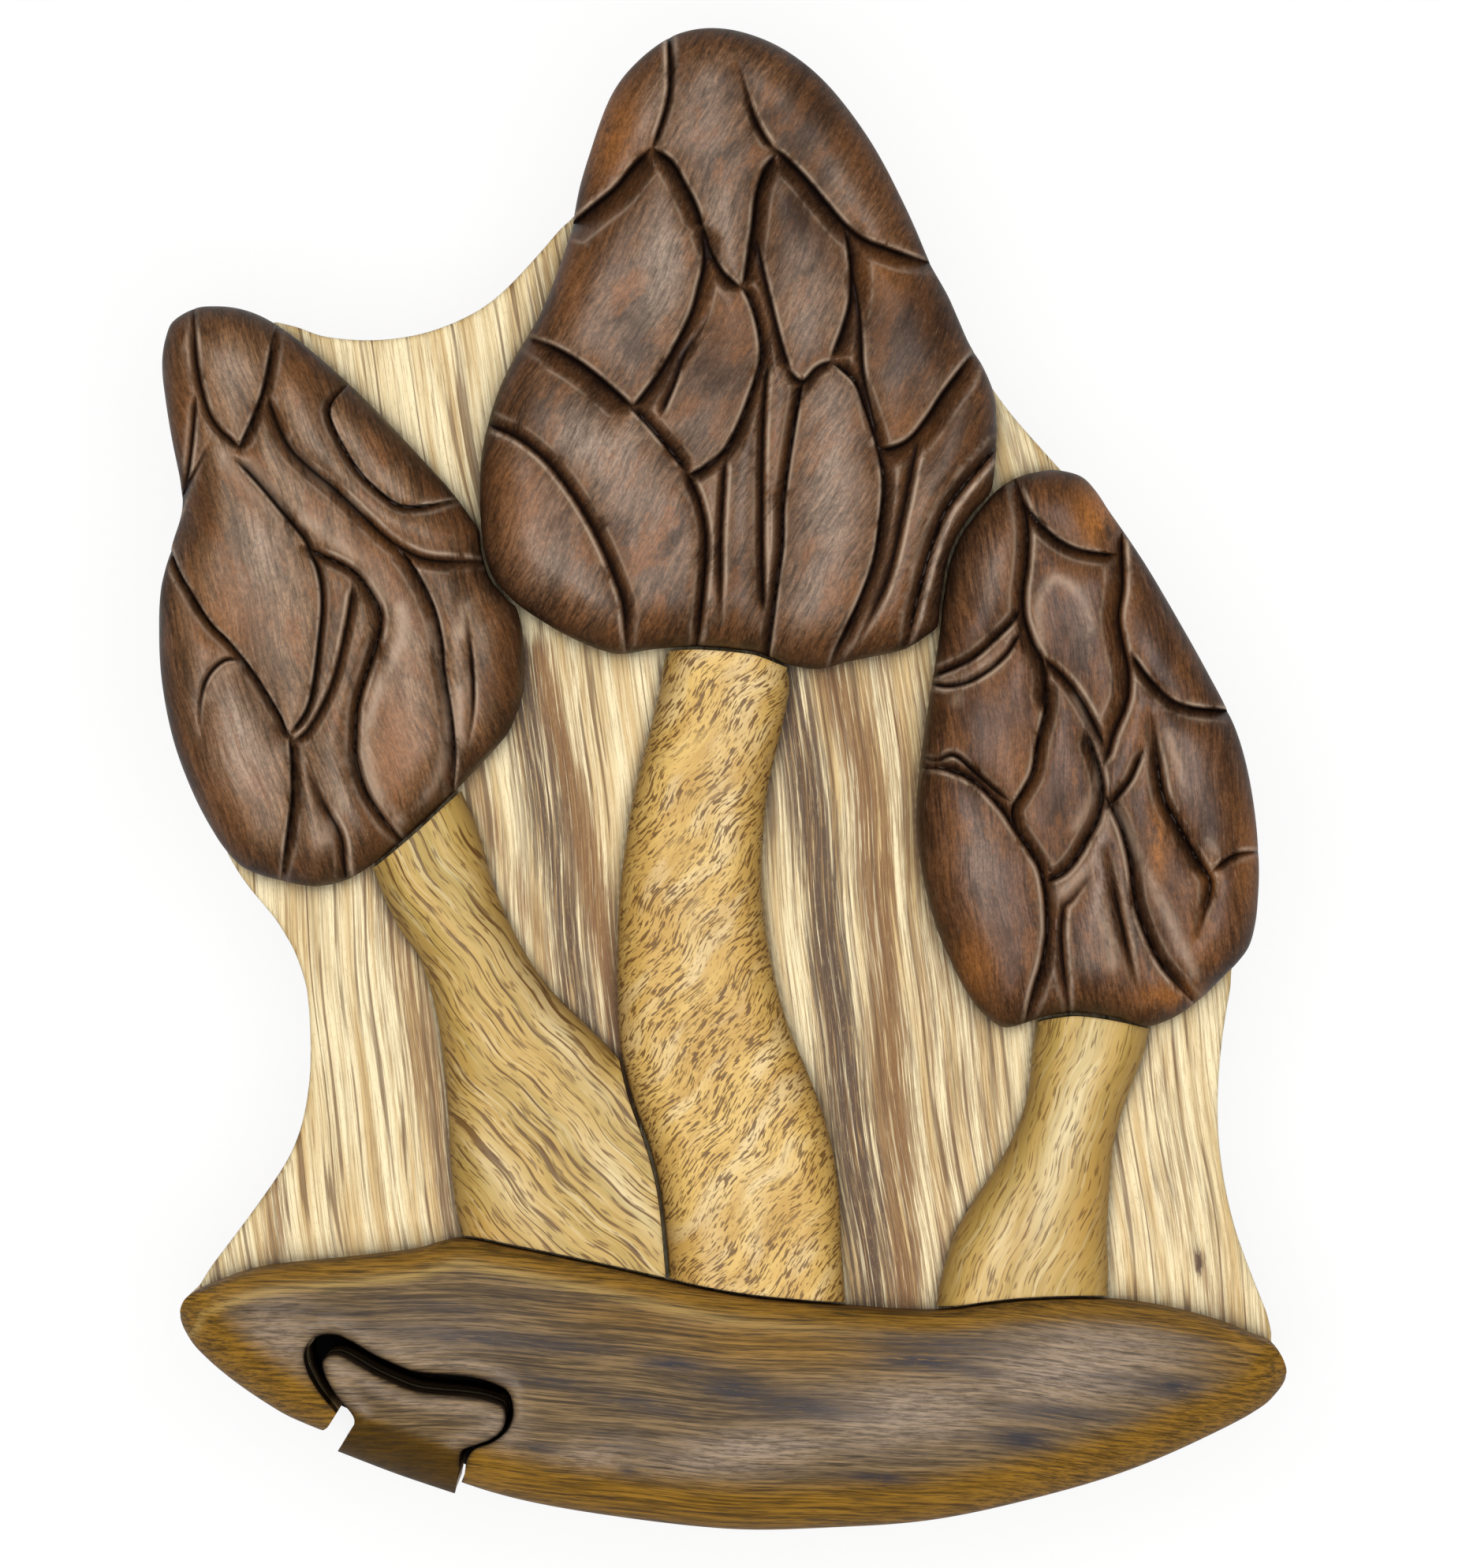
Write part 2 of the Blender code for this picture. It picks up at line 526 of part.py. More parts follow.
for leftover in list(bpy.data.objects):
    bpy.data.objects.remove(leftover)

scene = bpy.context.scene
parts = bpy.data.collections.new("puzzle_box")
cutters = bpy.data.collections.new("cutters")
scene.collection.children.link(parts)
scene.collection.children.link(cutters)

# Every outline, sawn from its shares
center_cap = smooth(CENTER_CAP_SHARES, SAW_STEP, closed=True)
left_cap = smooth(LEFT_CAP_SHARES, SAW_STEP, closed=True)
right_cap = smooth(RIGHT_CAP_SHARES, SAW_STEP, closed=True)
panel = smooth(PANEL_SHARES, SAW_STEP, closed=True)
center_stem = smooth(CENTER_STEM_SHARES, SAW_STEP, closed=True)
left_stem = smooth(LEFT_STEM_SHARES, SAW_STEP, closed=True)
right_stem = smooth(RIGHT_STEM_SHARES, SAW_STEP, closed=True)
mound_back = smooth(MOUND_BACK_SHARES, SAW_STEP, closed=False)
mound_front = smooth(MOUND_FRONT_SHARES, SAW_STEP, closed=False)
mound_whole = np.vstack([mound_back[:-1], mound_front[:-1]])
key_lobes = smooth(KEY_LOBE_SHARES, SAW_STEP / 2, closed=False)
key_edge = smooth(KEY_EDGE_SHARES, SAW_STEP, closed=False)
key_sawn = np.vstack([key_lobes[:-1], key_edge[:-1]])
key_shift = KEY_KERF * np.array(KEY_REST_SHARES)
key_rest = key_sawn + key_shift
slot = grown(key_sawn, KEY_KERF)
compartment = smooth(COMPARTMENT_SHARES, SAW_STEP, closed=True)
box_rim = rim_of(*fill([center_cap, left_cap, right_cap, panel, mound_whole], [slot]))

# The three bodies: the case stays, and the key and the lid lift off it
bodies = {}
for body_name, level, middle in (
    ("case", 0, (0, 0)),
    ("lid", PANEL_BOTTOM, (0, 0)),
    ("key", 0, key_rest.mean(axis=0)),
):
    empty = bpy.data.objects.new(body_name + "_body", None)
    empty.location = (*middle, level)
    parts.objects.link(empty)
    bodies[body_name] = empty
case, lid, key = bodies["case"], bodies["lid"], bodies["key"]


def back_boards():
    """The flat back, the wall with the compartment, and the felt on the compartment's floor."""
    board("back_panel", case, [box_rim], 0, BACK_THICKNESS, "back_tan")
    wall = board("case_wall", case, [box_rim, compartment], WALL_BOTTOM, WALL_DEPTH, "case_brown")
    lining = grown(compartment, -LINING_CLEARANCE)
    board("compartment_lining", case, [lining], WALL_BOTTOM, LINING_THICKNESS, "black_felt")
    return wall


def picture():
    """The lid panel with the caps, stems and mound on it."""
    lid_panel = board("lid_panel", lid, [box_rim], PANEL_BOTTOM, PANEL_THICKNESS, "streaked_cream")

    def fitted(outline, *in_front):
        return rim_of(*fill([outline], [grown(other, JOINT_GAP) for other in in_front]))

    def cap(name, rim, groove_shares, rise, wood):
        grooves = [smooth(shares, GROOVE_STEP, closed=False) for shares in groove_shares]

        def height(points):
            depth = np.min([distance_to(points, groove) for groove in grooves], axis=0)
            carved = CAP_GROOVE_DEPTH * (1 - np.clip(depth / CAP_GROOVE_WIDTH, 0, 1))
            return rise - rounded(points, rim, CAP_RIM_WIDTH, CAP_RIM_DROP) - carved

        rings = [CAP_RIM_WIDTH * share for share in RIM_RING_SHARES]
        carving(name, lid, rim, height, wood, grooves, rings)

    def stem(name, outline, rim, rise, wood):
        def height(points):
            return rise - rounded(points, outline, STEM_SIDE_WIDTH, STEM_SIDE_DROP)

        rings = [STEM_SIDE_WIDTH * share for share in RIM_RING_SHARES]
        carving(name, lid, rim, height, wood, rings=rings)

    center_rim = fitted(center_cap, right_cap)
    left_rim = fitted(left_cap, center_cap)
    cap("cap_center", center_rim, CENTER_CAP_GROOVE_SHARES, CENTER_CAP_RISE, "dark_walnut")
    cap("cap_left", left_rim, LEFT_CAP_GROOVE_SHARES, LEFT_CAP_RISE, "red_walnut")
    cap("cap_right", right_cap, RIGHT_CAP_GROOVE_SHARES, RIGHT_CAP_RISE, "plum_walnut")

    center_stem_rim = fitted(center_stem, center_cap, mound_whole)
    left_stem_rim = fitted(left_stem, center_stem, left_cap, mound_whole)
    right_stem_rim = fitted(right_stem, right_cap, mound_whole)
    stem("stem_center", center_stem, center_stem_rim, CENTER_STEM_RISE, "wavy_gold")
    stem("stem_left", left_stem, left_stem_rim, LEFT_STEM_RISE, "olive_gold")
    stem("stem_right", right_stem, right_stem_rim, RIGHT_STEM_RISE, "olive_gold")
    return lid_panel


def ground_height(points, rim, front_edge, back_edge=None):
    """The mound's top: broadly rounded in front, tightly behind, with a worn arris all round."""
    fall = rounded(points, front_edge, MOUND_FRONT_WIDTH, MOUND_FRONT_DROP, closed=False)
    if back_edge is not None:
        behind = rounded(points, back_edge, MOUND_BACK_WIDTH, MOUND_BACK_DROP, closed=False)
        fall = np.maximum(fall, behind)
    return MOUND_RISE - np.maximum(fall, rounded(points, rim, ARRIS_WIDTH, ARRIS_DROP))


def mound():
    """The ground of the picture, with the slot sawn into its front edge."""
    rim = rim_of(*fill([mound_whole], [slot]))

    def height(points):
        return ground_height(points, rim, mound_front, mound_back)

    rings = [ARRIS_WIDTH, MOUND_FRONT_WIDTH * max(RIM_RING_SHARES), MOUND_FRONT_WIDTH]
    carving("mound", lid, rim, height, "mound_olive", rings=rings)


def key_stack():
    """The jigsaw key: one layer from each board, and its face from the mound."""

    def height(points):
        return ground_height(points, key_rest, key_edge + key_shift)

    core_depth = PANEL_BOTTOM - GLUE_LINE - WALL_BOTTOM
    board("key_back", key, [key_rest], 0, BACK_THICKNESS, "back_tan")
    core = board("key_core", key, [key_rest], WALL_BOTTOM, core_depth, "case_brown")
    board(
        "key_panel_layer", key, [key_rest], PANEL_BOTTOM, PANEL_THICKNESS, "streaked_cream"
    )
    rings = [ARRIS_WIDTH, MOUND_FRONT_WIDTH * max(RIM_RING_SHARES)]
    carving("key_face", key, key_rest, height, "mound_olive", rings=rings)
    return core


def seat_magnets(wall, lid_panel, core):
    """Pairs of magnets in drilled seats: three for the lid, and one pair beside the key."""
    seat_radius = LID_MAGNET_RADIUS + MAGNET_CLEARANCE
    seat_depth = LID_MAGNET_THICKNESS + MAGNET_CLEARANCE
    length = seat_depth + CUT_OVERRUN
    sunk = LID_MAGNET_THICKNESS / 2
    for number, share in enumerate(LID_MAGNET_SHARES, 1):
        x, y = face_point(share)
        below, above = f"case_magnet_{number}", f"lid_magnet_{number}"
        cut_below = WALL_TOP - seat_depth + length / 2
        cut_above = PANEL_BOTTOM + seat_depth - length / 2
        drill(wall, below + "_seat", seat_radius, (x, y, cut_below), length)
        drill(lid_panel, above + "_seat", seat_radius, (x, y, cut_above), length)
        magnet(below, case, LID_MAGNET_RADIUS, LID_MAGNET_THICKNESS, (x, y, WALL_TOP - sunk))
        magnet(above, lid, LID_MAGNET_RADIUS, LID_MAGNET_THICKNESS, (x, y, PANEL_BOTTOM + sunk))

    seat_radius = KEY_MAGNET_RADIUS + MAGNET_CLEARANCE
    seat_depth = KEY_MAGNET_THICKNESS + MAGNET_CLEARANCE
    length = seat_depth + CUT_OVERRUN
    sunk = MAGNET_CLEARANCE + KEY_MAGNET_THICKNESS / 2
    z = WALL_BOTTOM + WALL_DEPTH * KEY_MAGNET_HEIGHT_SHARE
    tip_x, tip_y = key_rest[key_rest[:, 0].argmax()]
    wall_x = slot[:, 0].max()
    for name, piece, body, face_x, inward in (
        ("key_magnet", core, key, tip_x, -1),
        ("key_seat_magnet", wall, case, wall_x, 1),
    ):
        cut_x = face_x + inward * (seat_depth - length / 2)
        drill(piece, name + "_seat", seat_radius, (cut_x, tip_y, z), length, "X")
        middle = (face_x + inward * sunk, tip_y, z)
        magnet(name, body, KEY_MAGNET_RADIUS, KEY_MAGNET_THICKNESS, middle, "X")


case_wall = back_boards()
lid_board = picture()
mound()
key_core = key_stack()
seat_magnets(case_wall, lid_board, key_core)
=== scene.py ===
"""The looks of a wooden puzzle box whose face is an inlaid relief of three morel mushrooms.

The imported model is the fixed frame. Every piece takes its outline and its heights from the
node it stands for, and is then sawn, carved or turned and given its finish. Places on the
face that follow the photograph are written in the photograph's pixels.
"""

import functools
import json

import bmesh
import bpy
import numpy as np
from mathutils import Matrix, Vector
from mathutils.geometry import delaunay_2d_cdt
from mathutils.kdtree import KDTree

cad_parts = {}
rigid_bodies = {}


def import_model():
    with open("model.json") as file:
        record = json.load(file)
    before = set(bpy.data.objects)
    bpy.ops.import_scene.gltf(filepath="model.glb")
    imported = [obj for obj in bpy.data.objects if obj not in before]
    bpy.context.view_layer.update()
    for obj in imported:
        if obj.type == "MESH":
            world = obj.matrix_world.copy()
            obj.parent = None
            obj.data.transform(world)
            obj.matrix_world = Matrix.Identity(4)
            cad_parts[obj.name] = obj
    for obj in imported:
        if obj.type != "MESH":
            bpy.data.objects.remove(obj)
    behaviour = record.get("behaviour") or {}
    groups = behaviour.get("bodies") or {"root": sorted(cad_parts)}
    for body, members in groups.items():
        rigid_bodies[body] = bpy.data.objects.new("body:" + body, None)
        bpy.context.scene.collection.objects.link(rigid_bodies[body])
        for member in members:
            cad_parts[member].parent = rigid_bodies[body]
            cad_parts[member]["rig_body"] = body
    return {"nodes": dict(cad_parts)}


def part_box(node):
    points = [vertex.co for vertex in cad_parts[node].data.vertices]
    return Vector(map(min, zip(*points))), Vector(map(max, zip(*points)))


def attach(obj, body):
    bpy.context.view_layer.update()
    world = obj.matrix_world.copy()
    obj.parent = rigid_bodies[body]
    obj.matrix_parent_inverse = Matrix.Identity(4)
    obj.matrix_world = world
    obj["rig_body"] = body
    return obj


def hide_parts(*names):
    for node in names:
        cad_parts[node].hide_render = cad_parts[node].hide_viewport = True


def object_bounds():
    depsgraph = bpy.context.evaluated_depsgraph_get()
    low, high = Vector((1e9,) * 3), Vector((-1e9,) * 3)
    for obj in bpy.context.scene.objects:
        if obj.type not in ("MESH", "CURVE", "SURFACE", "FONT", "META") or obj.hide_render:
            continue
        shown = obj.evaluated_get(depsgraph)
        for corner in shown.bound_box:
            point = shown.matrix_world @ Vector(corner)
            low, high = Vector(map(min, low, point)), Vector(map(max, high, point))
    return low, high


bl_info = {
    "name": "Morel puzzle box",
    "version": (1, 0, 0),
    "blender": (4, 5, 0),
    "location": "3D View > Sidebar > Puzzle Box",
    "description": "A carved and inlaid wooden puzzle box, built round its fixed frame",
    "category": "Add Mesh",
}

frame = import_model()
LOW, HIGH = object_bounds()

MM = 0.001
WELD = 1e-6

# How far in from their rims the carved pieces have rings of points, in millimetres
RINGS = (0.08, 0.22, 0.45, 0.75, 1.15, 1.65, 2.3, 3.0)
GROUND_RINGS = (0.08, 0.22, 0.45, 0.7, 1.1, 1.6, 2.2, 2.9)
PANEL_RINGS = (0.1, 0.25, 0.45, 0.75)

# The points of a carved face: how near they may come to its rim, to its cuts and to one another,
# how near to a cut their even field starts, and how high its rows are as a share of their step
RIM_MARGIN = 0.08 * MM
CUT_MARGIN = 0.11 * MM
CELL = 0.13 * MM
FIELD_MARGIN = 0.45 * MM
ROW_HEIGHT = 0.866

# A point moved off a line is kept if it is still this share of the move away from it
KEPT_SHARE = 0.93

# The ends of the cuts: how near they have to be to a cut or the rim to meet it, how far past the
# rim they then go, and how slowly they run out where they meet one and where they don't
MEETING = 1.2 * MM
PAST_RIM = 2 * MM
SHORT_TAPER = 1.3 * MM
LONG_TAPER = 5 * MM

# The caps' faces: how far the wood between the cuts is domed and over what distance, how far it
# swells and sinks elsewhere, and half the widths of the black creases, which are painted shade,
# and of the worn ridges, which also carry a painted highlight
DOME = 0.6 * MM
DOME_REACH = 4 * MM
SWELL = 0.12 * MM
CREASE_HALF = 0.14 * MM
RIDGE_HALF = 0.18 * MM

# How many sides a bored seat has, and how deep the cutter goes into a board's side
SEAT_SIDES = 48
SIDE_CUTTER = 6 * MM

# Depths of the finishes' fine relief, in millimetres
WOOD_RELIEF = 0.02
BOARD_RELIEF = 0.05
FELT_RELIEF = 0.15
METAL_RELIEF = 0.004

# The height of the camera's sensor, in millimetres
SENSOR = 36

# Where the box lies in the photograph, in pixels
PHOTO_SIZE = (1854, 1988)
PHOTO_LEFT = 205
PHOTO_BOTTOM = 1937
PHOTO_SPAN = 1424

# Carved lines of each cap: depth, width on the left and on the right of the way the line
# runs, how far off the lower face beside it starts to dip under the higher one, all in
# millimetres, then the line in the photograph's pixels
CENTER_CAP_CUTS = (
    (1.6, 0.5, 2.2, 6.5, ((731, 284), (755, 265), (782, 243), (805, 215), (827, 195))),
    (1.1, 0.6, 0.6, 0.0, ((827, 198), (834, 179), (843, 152), (849, 125), (850, 102), (849, 65))),
    (1.6, 0.5, 1.7, 3.0, ((824, 194), (850, 209), (868, 238), (884, 270), (893, 302))),
    (1.6, 1.7, 0.5, 0.0, ((892, 292), (893, 338), (886, 370), (877, 402), (855, 447), (832, 484),
        (800, 526))),
    (1.6, 0.5, 1.3, 0.0, ((888, 285), (902, 325), (918, 352), (943, 374))),
    (1.1, 0.7, 0.7, 0.0, ((938, 90), (943, 111), (955, 152), (968, 179), (984, 200))),
    (1.5, 0.5, 1.7, 5.0, ((978, 194), (991, 202), (1018, 229), (1045, 261), (1073, 293),
        (1095, 309), (1123, 320), (1164, 334), (1180, 338))),
    (1.9, 1.5, 0.5, 3.5, ((988, 198), (970, 220), (959, 252), (954, 293), (949, 329), (942, 372))),
    (1.4, 1.2, 0.5, 2.0, ((937, 362), (950, 384), (959, 411), (964, 438), (964, 461), (952, 502),
        (936, 543), (918, 575), (891, 597), (868, 609))),
    (1.6, 2.0, 0.5, 3.0, ((1070, 288), (1077, 338), (1077, 384), (1068, 420), (1052, 462))),
    (1.5, 0.5, 2.2, 6.0, ((673, 432), (705, 445), (736, 463), (768, 488), (806, 522))),
    (1.3, 1.3, 0.5, 1.5, ((796, 514), (827, 547), (850, 575), (875, 606))),
    (1.4, 0.9, 0.9, 0.0, ((868, 596), (886, 634), (895, 675), (895, 715), (891, 761), (886, 806),
        (880, 830))),
    (0.9, 0.5, 1.3, 0.0, ((903, 392), (891, 420), (868, 456), (855, 493), (837, 535))),
    (1.2, 1.2, 0.8, 0.0, ((630, 545), (659, 559), (691, 584), (714, 611), (736, 643), (759, 684),
        (777, 725), (791, 765), (795, 806), (796, 822))),
    (1.3, 0.5, 1.0, 0.0, ((994, 468), (1016, 488), (1036, 470), (1062, 460))),
    (1.0, 0.5, 1.2, 0.0, ((955, 296), (975, 380), (990, 440), (1003, 480))),
    (1.4, 0.4, 1.0, 1.5, ((1018, 480), (1011, 520), (1005, 556), (998, 602), (993, 647),
        (992, 693), (986, 738), (980, 784), (975, 822))),
    (1.4, 1.3, 0.4, 2.5, ((1050, 460), (1082, 488), (1095, 520), (1107, 556), (1116, 593),
        (1118, 625), (1114, 665), (1107, 711), (1093, 752), (1077, 788), (1059, 825),
        (1052, 845))),
    (1.9, 2.0, 0.5, 4.5, ((1236, 446), (1214, 475), (1191, 506), (1173, 534), (1150, 561),
        (1123, 572), (1105, 567))),
    (1.1, 0.5, 1.0, 0.0, ((1077, 340), (1088, 400), (1094, 484), (1112, 562))),
    (1.1, 1.1, 1.1, 2.0, ((1258, 575), (1227, 611), (1200, 647), (1186, 679), (1173, 720),
        (1159, 775), (1148, 820))),
    (0.8, 1.0, 1.2, 0.0, ((1164, 552), (1145, 647), (1123, 738), (1085, 820))),
    (1.0, 0.8, 0.8, 0.0, ((972, 463), (967, 556), (966, 647), (966, 693), (968, 780))),
    (0.8, 0.8, 0.8, 0.0, ((920, 580), (916, 647), (914, 693), (914, 800))),
)
LEFT_CAP_CUTS = (
    (1.1, 0.9, 0.9, 0.0, ((249, 400), (252, 443), (255, 470), (262, 503), (270, 527), (283, 547),
        (300, 563), (312, 577))),
    (1.5, 1.4, 0.5, 2.5, ((354, 415), (347, 450), (342, 480), (335, 507), (325, 533), (313, 560),
        (305, 578))),
    (1.5, 1.4, 1.5, 0.0, ((340, 500), (368, 566), (393, 593), (430, 624), (473, 665), (504, 692),
        (545, 711), (610, 714))),
    (1.5, 0.9, 0.5, 0.0, ((303, 585), (331, 615), (362, 652), (390, 686), (396, 699), (408, 730),
        (412, 767), (408, 814), (402, 863), (393, 900), (372, 932))),
    (1.3, 0.4, 1.0, 2.0, ((446, 486), (424, 513), (422, 532), (439, 569), (461, 603), (486, 627),
        (510, 643), (538, 644), (580, 636))),
    (0.8, 0.7, 0.7, 0.0, ((253, 503), (250, 545), (243, 600), (234, 637))),
    (1.1, 0.7, 0.7, 0.0, ((228, 645), (247, 607), (270, 566))),
    (1.6, 1.2, 1.2, 2.5, ((385, 694), (449, 724), (473, 752), (486, 780), (483, 811), (470, 851),
        (458, 891), (455, 925), (455, 962), (467, 1002), (486, 1033), (514, 1070))),
    (1.3, 0.5, 1.7, 2.0, ((500, 690), (523, 715), (551, 767), (563, 814), (566, 851), (575, 907),
        (579, 953), (576, 1005))),
    (0.6, 0.6, 0.6, 0.0, ((592, 770), (600, 829), (603, 891), (596, 950))),
    (1.5, 0.4, 1.1, 4.0, ((222, 705), (233, 730), (247, 753), (257, 770), (273, 793), (293, 813),
        (310, 833), (330, 860), (347, 887), (360, 910), (367, 927), (376, 940))),
    (0.8, 0.6, 0.6, 0.0, ((314, 838), (291, 838), (272, 854), (262, 876), (258, 907), (260, 935))),
    (1.4, 1.3, 0.5, 3.0, ((371, 930), (374, 968), (374, 1015), (368, 1061), (361, 1112))),
    (0.9, 1.2, 0.9, 0.0, ((452, 740), (442, 800), (424, 870), (395, 925), (372, 945))),
    (0.8, 1.2, 1.2, 0.0, ((392, 960), (410, 1010), (436, 1060), (440, 1100))),
)
RIGHT_CAP_CUTS = (
    (1.4, 0.9, 1.4, 2.5, ((1283, 605), (1293, 634), (1299, 652), (1301, 684), (1299, 721),
        (1295, 752), (1296, 784), (1306, 815), (1318, 837), (1323, 863), (1320, 906))),
    (1.8, 0.4, 1.2, 3.5, ((1292, 638), (1318, 668), (1340, 687), (1362, 698), (1387, 703),
        (1419, 706))),
    (1.5, 0.9, 1.9, 0.0, ((1420, 700), (1420, 746), (1415, 784), (1421, 821), (1427, 849),
        (1427, 881), (1421, 902), (1409, 931), (1402, 955), (1394, 972))),
    (1.4, 0.5, 1.1, 3.0, ((1428, 826), (1446, 852), (1465, 874), (1484, 890), (1509, 898),
        (1542, 901))),
    (1.3, 1.0, 1.1, 0.0, ((1316, 832), (1346, 859), (1365, 884), (1381, 912), (1400, 952))),
    (1.3, 0.6, 0.9, 3.0, ((1298, 766), (1281, 790), (1262, 809), (1234, 834), (1212, 846),
        (1185, 857))),
    (0.9, 0.6, 0.6, 0.0, ((1295, 798), (1271, 834), (1234, 862), (1202, 871), (1182, 868))),
    (1.7, 1.3, 0.6, 1.5, ((1316, 860), (1324, 877), (1321, 909), (1313, 940), (1306, 980),
        (1293, 1005), (1281, 1027), (1288, 1060))),
    (1.5, 1.3, 0.8, 2.0, ((1169, 974), (1190, 974), (1212, 980), (1234, 992), (1252, 1008),
        (1271, 1030), (1287, 1055), (1302, 1077), (1315, 1099), (1321, 1124), (1324, 1155),
        (1324, 1186), (1318, 1221), (1309, 1252), (1302, 1280), (1299, 1296))),
    (1.0, 0.6, 0.5, 0.0, ((1168, 961), (1187, 964), (1207, 958), (1231, 977), (1256, 999),
        (1280, 1018))),
    (1.5, 0.8, 1.3, 2.0, ((1372, 924), (1390, 971), (1395, 1002), (1390, 1036), (1374, 1067),
        (1359, 1092), (1343, 1108), (1316, 1120))),
    (1.2, 0.6, 0.8, 0.0, ((1446, 948), (1431, 986), (1415, 1008), (1397, 1028))),
    (1.4, 1.2, 0.8, 2.0, ((1396, 1005), (1416, 1044), (1428, 1087), (1436, 1144), (1451, 1187),
        (1471, 1224), (1516, 1274))),
    (1.8, 1.1, 1.3, 2.0, ((1457, 905), (1465, 972), (1474, 1015), (1494, 1052), (1514, 1087),
        (1531, 1118), (1521, 1161), (1512, 1190))),
    (1.0, 0.7, 0.7, 0.0, ((1530, 1106), (1560, 1084), (1598, 1079))),
    (0.8, 1.0, 1.0, 0.0, ((1381, 1105), (1356, 1139), (1346, 1149), (1343, 1196), (1352, 1274))),
    (0.8, 1.0, 1.0, 0.0, ((1399, 1071), (1421, 1180), (1440, 1258))),
)

# Dark, pale and orange places of the caps: how strong, half their width and height in
# millimetres, their middle. The dark places are laid into the painted shade beside the cuts, the
# pale places are painted highlight, and the orange places are orange tone of the wood, with a
# painted glint where they are strongest
CAP_PLACES = {
    "deep": (
        (0.8, 6.0, 8.0, (1165, 420)), (0.75, 3.5, 5.0, (1015, 265)), (0.45, 2.6, 2.4, (1045, 335)),
        (0.65, 5.5, 7.5, (1050, 140)), (0.55, 3.6, 6.0, (905, 480)), (0.6, 4.5, 4.5, (755, 270)),
        (0.55, 4.5, 8.0, (1215, 560)), (0.45, 6.0, 2.6, (650, 505)), (0.55, 6.0, 3.5, (690, 825)),
        (0.45, 2.5, 9.0, (935, 720)), (0.35, 2.0, 6.0, (1130, 720)), (0.55, 8.0, 1.8, (930, 825)),
        (0.3, 4.0, 4.0, (420, 450)), (0.5, 2.2, 4.0, (268, 640)), (0.5, 3.5, 5.5, (560, 740)),
        (0.45, 3.0, 8.0, (630, 850)), (0.35, 2.0, 8.0, (232, 560)), (0.45, 7.0, 2.5, (380, 1095)),
        (0.35, 2.0, 5.0, (445, 760)), (0.35, 2.5, 7.0, (225, 860)), (0.3, 2.5, 5.0, (420, 960)),
        (0.45, 4.0, 7.0, (1450, 740)), (0.5, 3.5, 8.0, (1560, 1010)), (0.3, 5.5, 4.5, (1340, 720)),
        (0.3, 6.0, 4.0, (1400, 1235)), (0.35, 1.6, 4.0, (1345, 800)), (0.4, 4.0, 4.0, (1230, 900)),
        (0.5, 3.0, 8.0, (1465, 1130)), (0.45, 2.5, 5.5, (1335, 1030)),
        (0.4, 4.0, 2.5, (1240, 1270)), (0.45, 2.5, 4.5, (1390, 890)), (0.4, 2.5, 3.0, (1000, 350)),
    ),
    "pale": (
        (0.55, 2.0, 4.0, (900, 285)), (0.75, 2.0, 6.0, (842, 350)), (0.75, 4.5, 4.5, (765, 560)),
        (0.55, 2.8, 8.0, (1050, 610)), (0.45, 2.2, 4.0, (1015, 770)),
        (0.55, 1.6, 3.0, (1005, 390)), (0.45, 1.5, 3.5, (905, 575)), (0.4, 1.2, 6.0, (1170, 690)),
        (0.4, 3.0, 5.0, (840, 110)), (0.4, 1.5, 4.0, (1062, 262)), (0.45, 1.8, 4.0, (1060, 425)),
        (0.35, 2.5, 5.0, (935, 640)), (0.75, 2.6, 4.5, (335, 700)), (0.95, 3.5, 6.5, (312, 930)),
        (0.3, 2.0, 6.0, (520, 860)), (0.4, 2.2, 3.0, (300, 470)), (0.35, 3.0, 5.0, (430, 1010)),
        (0.4, 4.0, 2.0, (420, 560)), (0.25, 1.0, 4.0, (1374, 790)), (0.3, 2.0, 5.0, (1240, 1100)),
        (0.45, 2.0, 4.0, (1400, 1150)), (0.15, 2.5, 4.0, (1490, 960)),
        (0.35, 3.0, 2.0, (1380, 1215)), (0.35, 2.5, 4.0, (1250, 720)), (0.6, 2.8, 3.5, (688, 730)),
    ),
    "orange_tone_and_glint": (
        (1.0, 4.0, 7.0, (765, 165)), (0.55, 3.0, 6.0, (715, 350)), (0.7, 3.0, 4.0, (1120, 350)),
        (0.6, 4.0, 2.5, (1150, 545)), (0.42, 4.0, 6.5, (660, 650)), (0.45, 3.0, 4.0, (925, 420)),
        (0.45, 4.0, 5.0, (1130, 215)), (0.35, 2.5, 6.0, (985, 600)), (0.25, 2.5, 6.0, (1090, 650)),
        (0.6, 3.5, 6.0, (290, 790)), (0.5, 5.0, 3.0, (480, 700)), (0.72, 2.5, 7.0, (505, 960)),
        (0.5, 2.5, 5.0, (240, 520)), (0.45, 3.5, 6.0, (300, 1000)), (0.4, 3.0, 3.0, (380, 480)),
        (1.3, 2.6, 4.2, (1388, 655)), (0.55, 3.0, 6.0, (1290, 980)), (0.9, 2.6, 4.5, (1232, 1225)),
        (0.6, 1.6, 4.5, (1420, 775)), (0.45, 2.5, 6.0, (1510, 1180)), (0.4, 4.0, 3.0, (1260, 840)),
        (1.2, 1.1, 4.6, (1464, 1072)), (1.0, 4.2, 1.8, (1480, 1262)),
        (0.85, 1.8, 8.0, (1582, 1080)), (0.9, 1.4, 2.2, (1528, 1112)),
        (0.6, 1.2, 5.0, (1545, 830)),
    ),
}
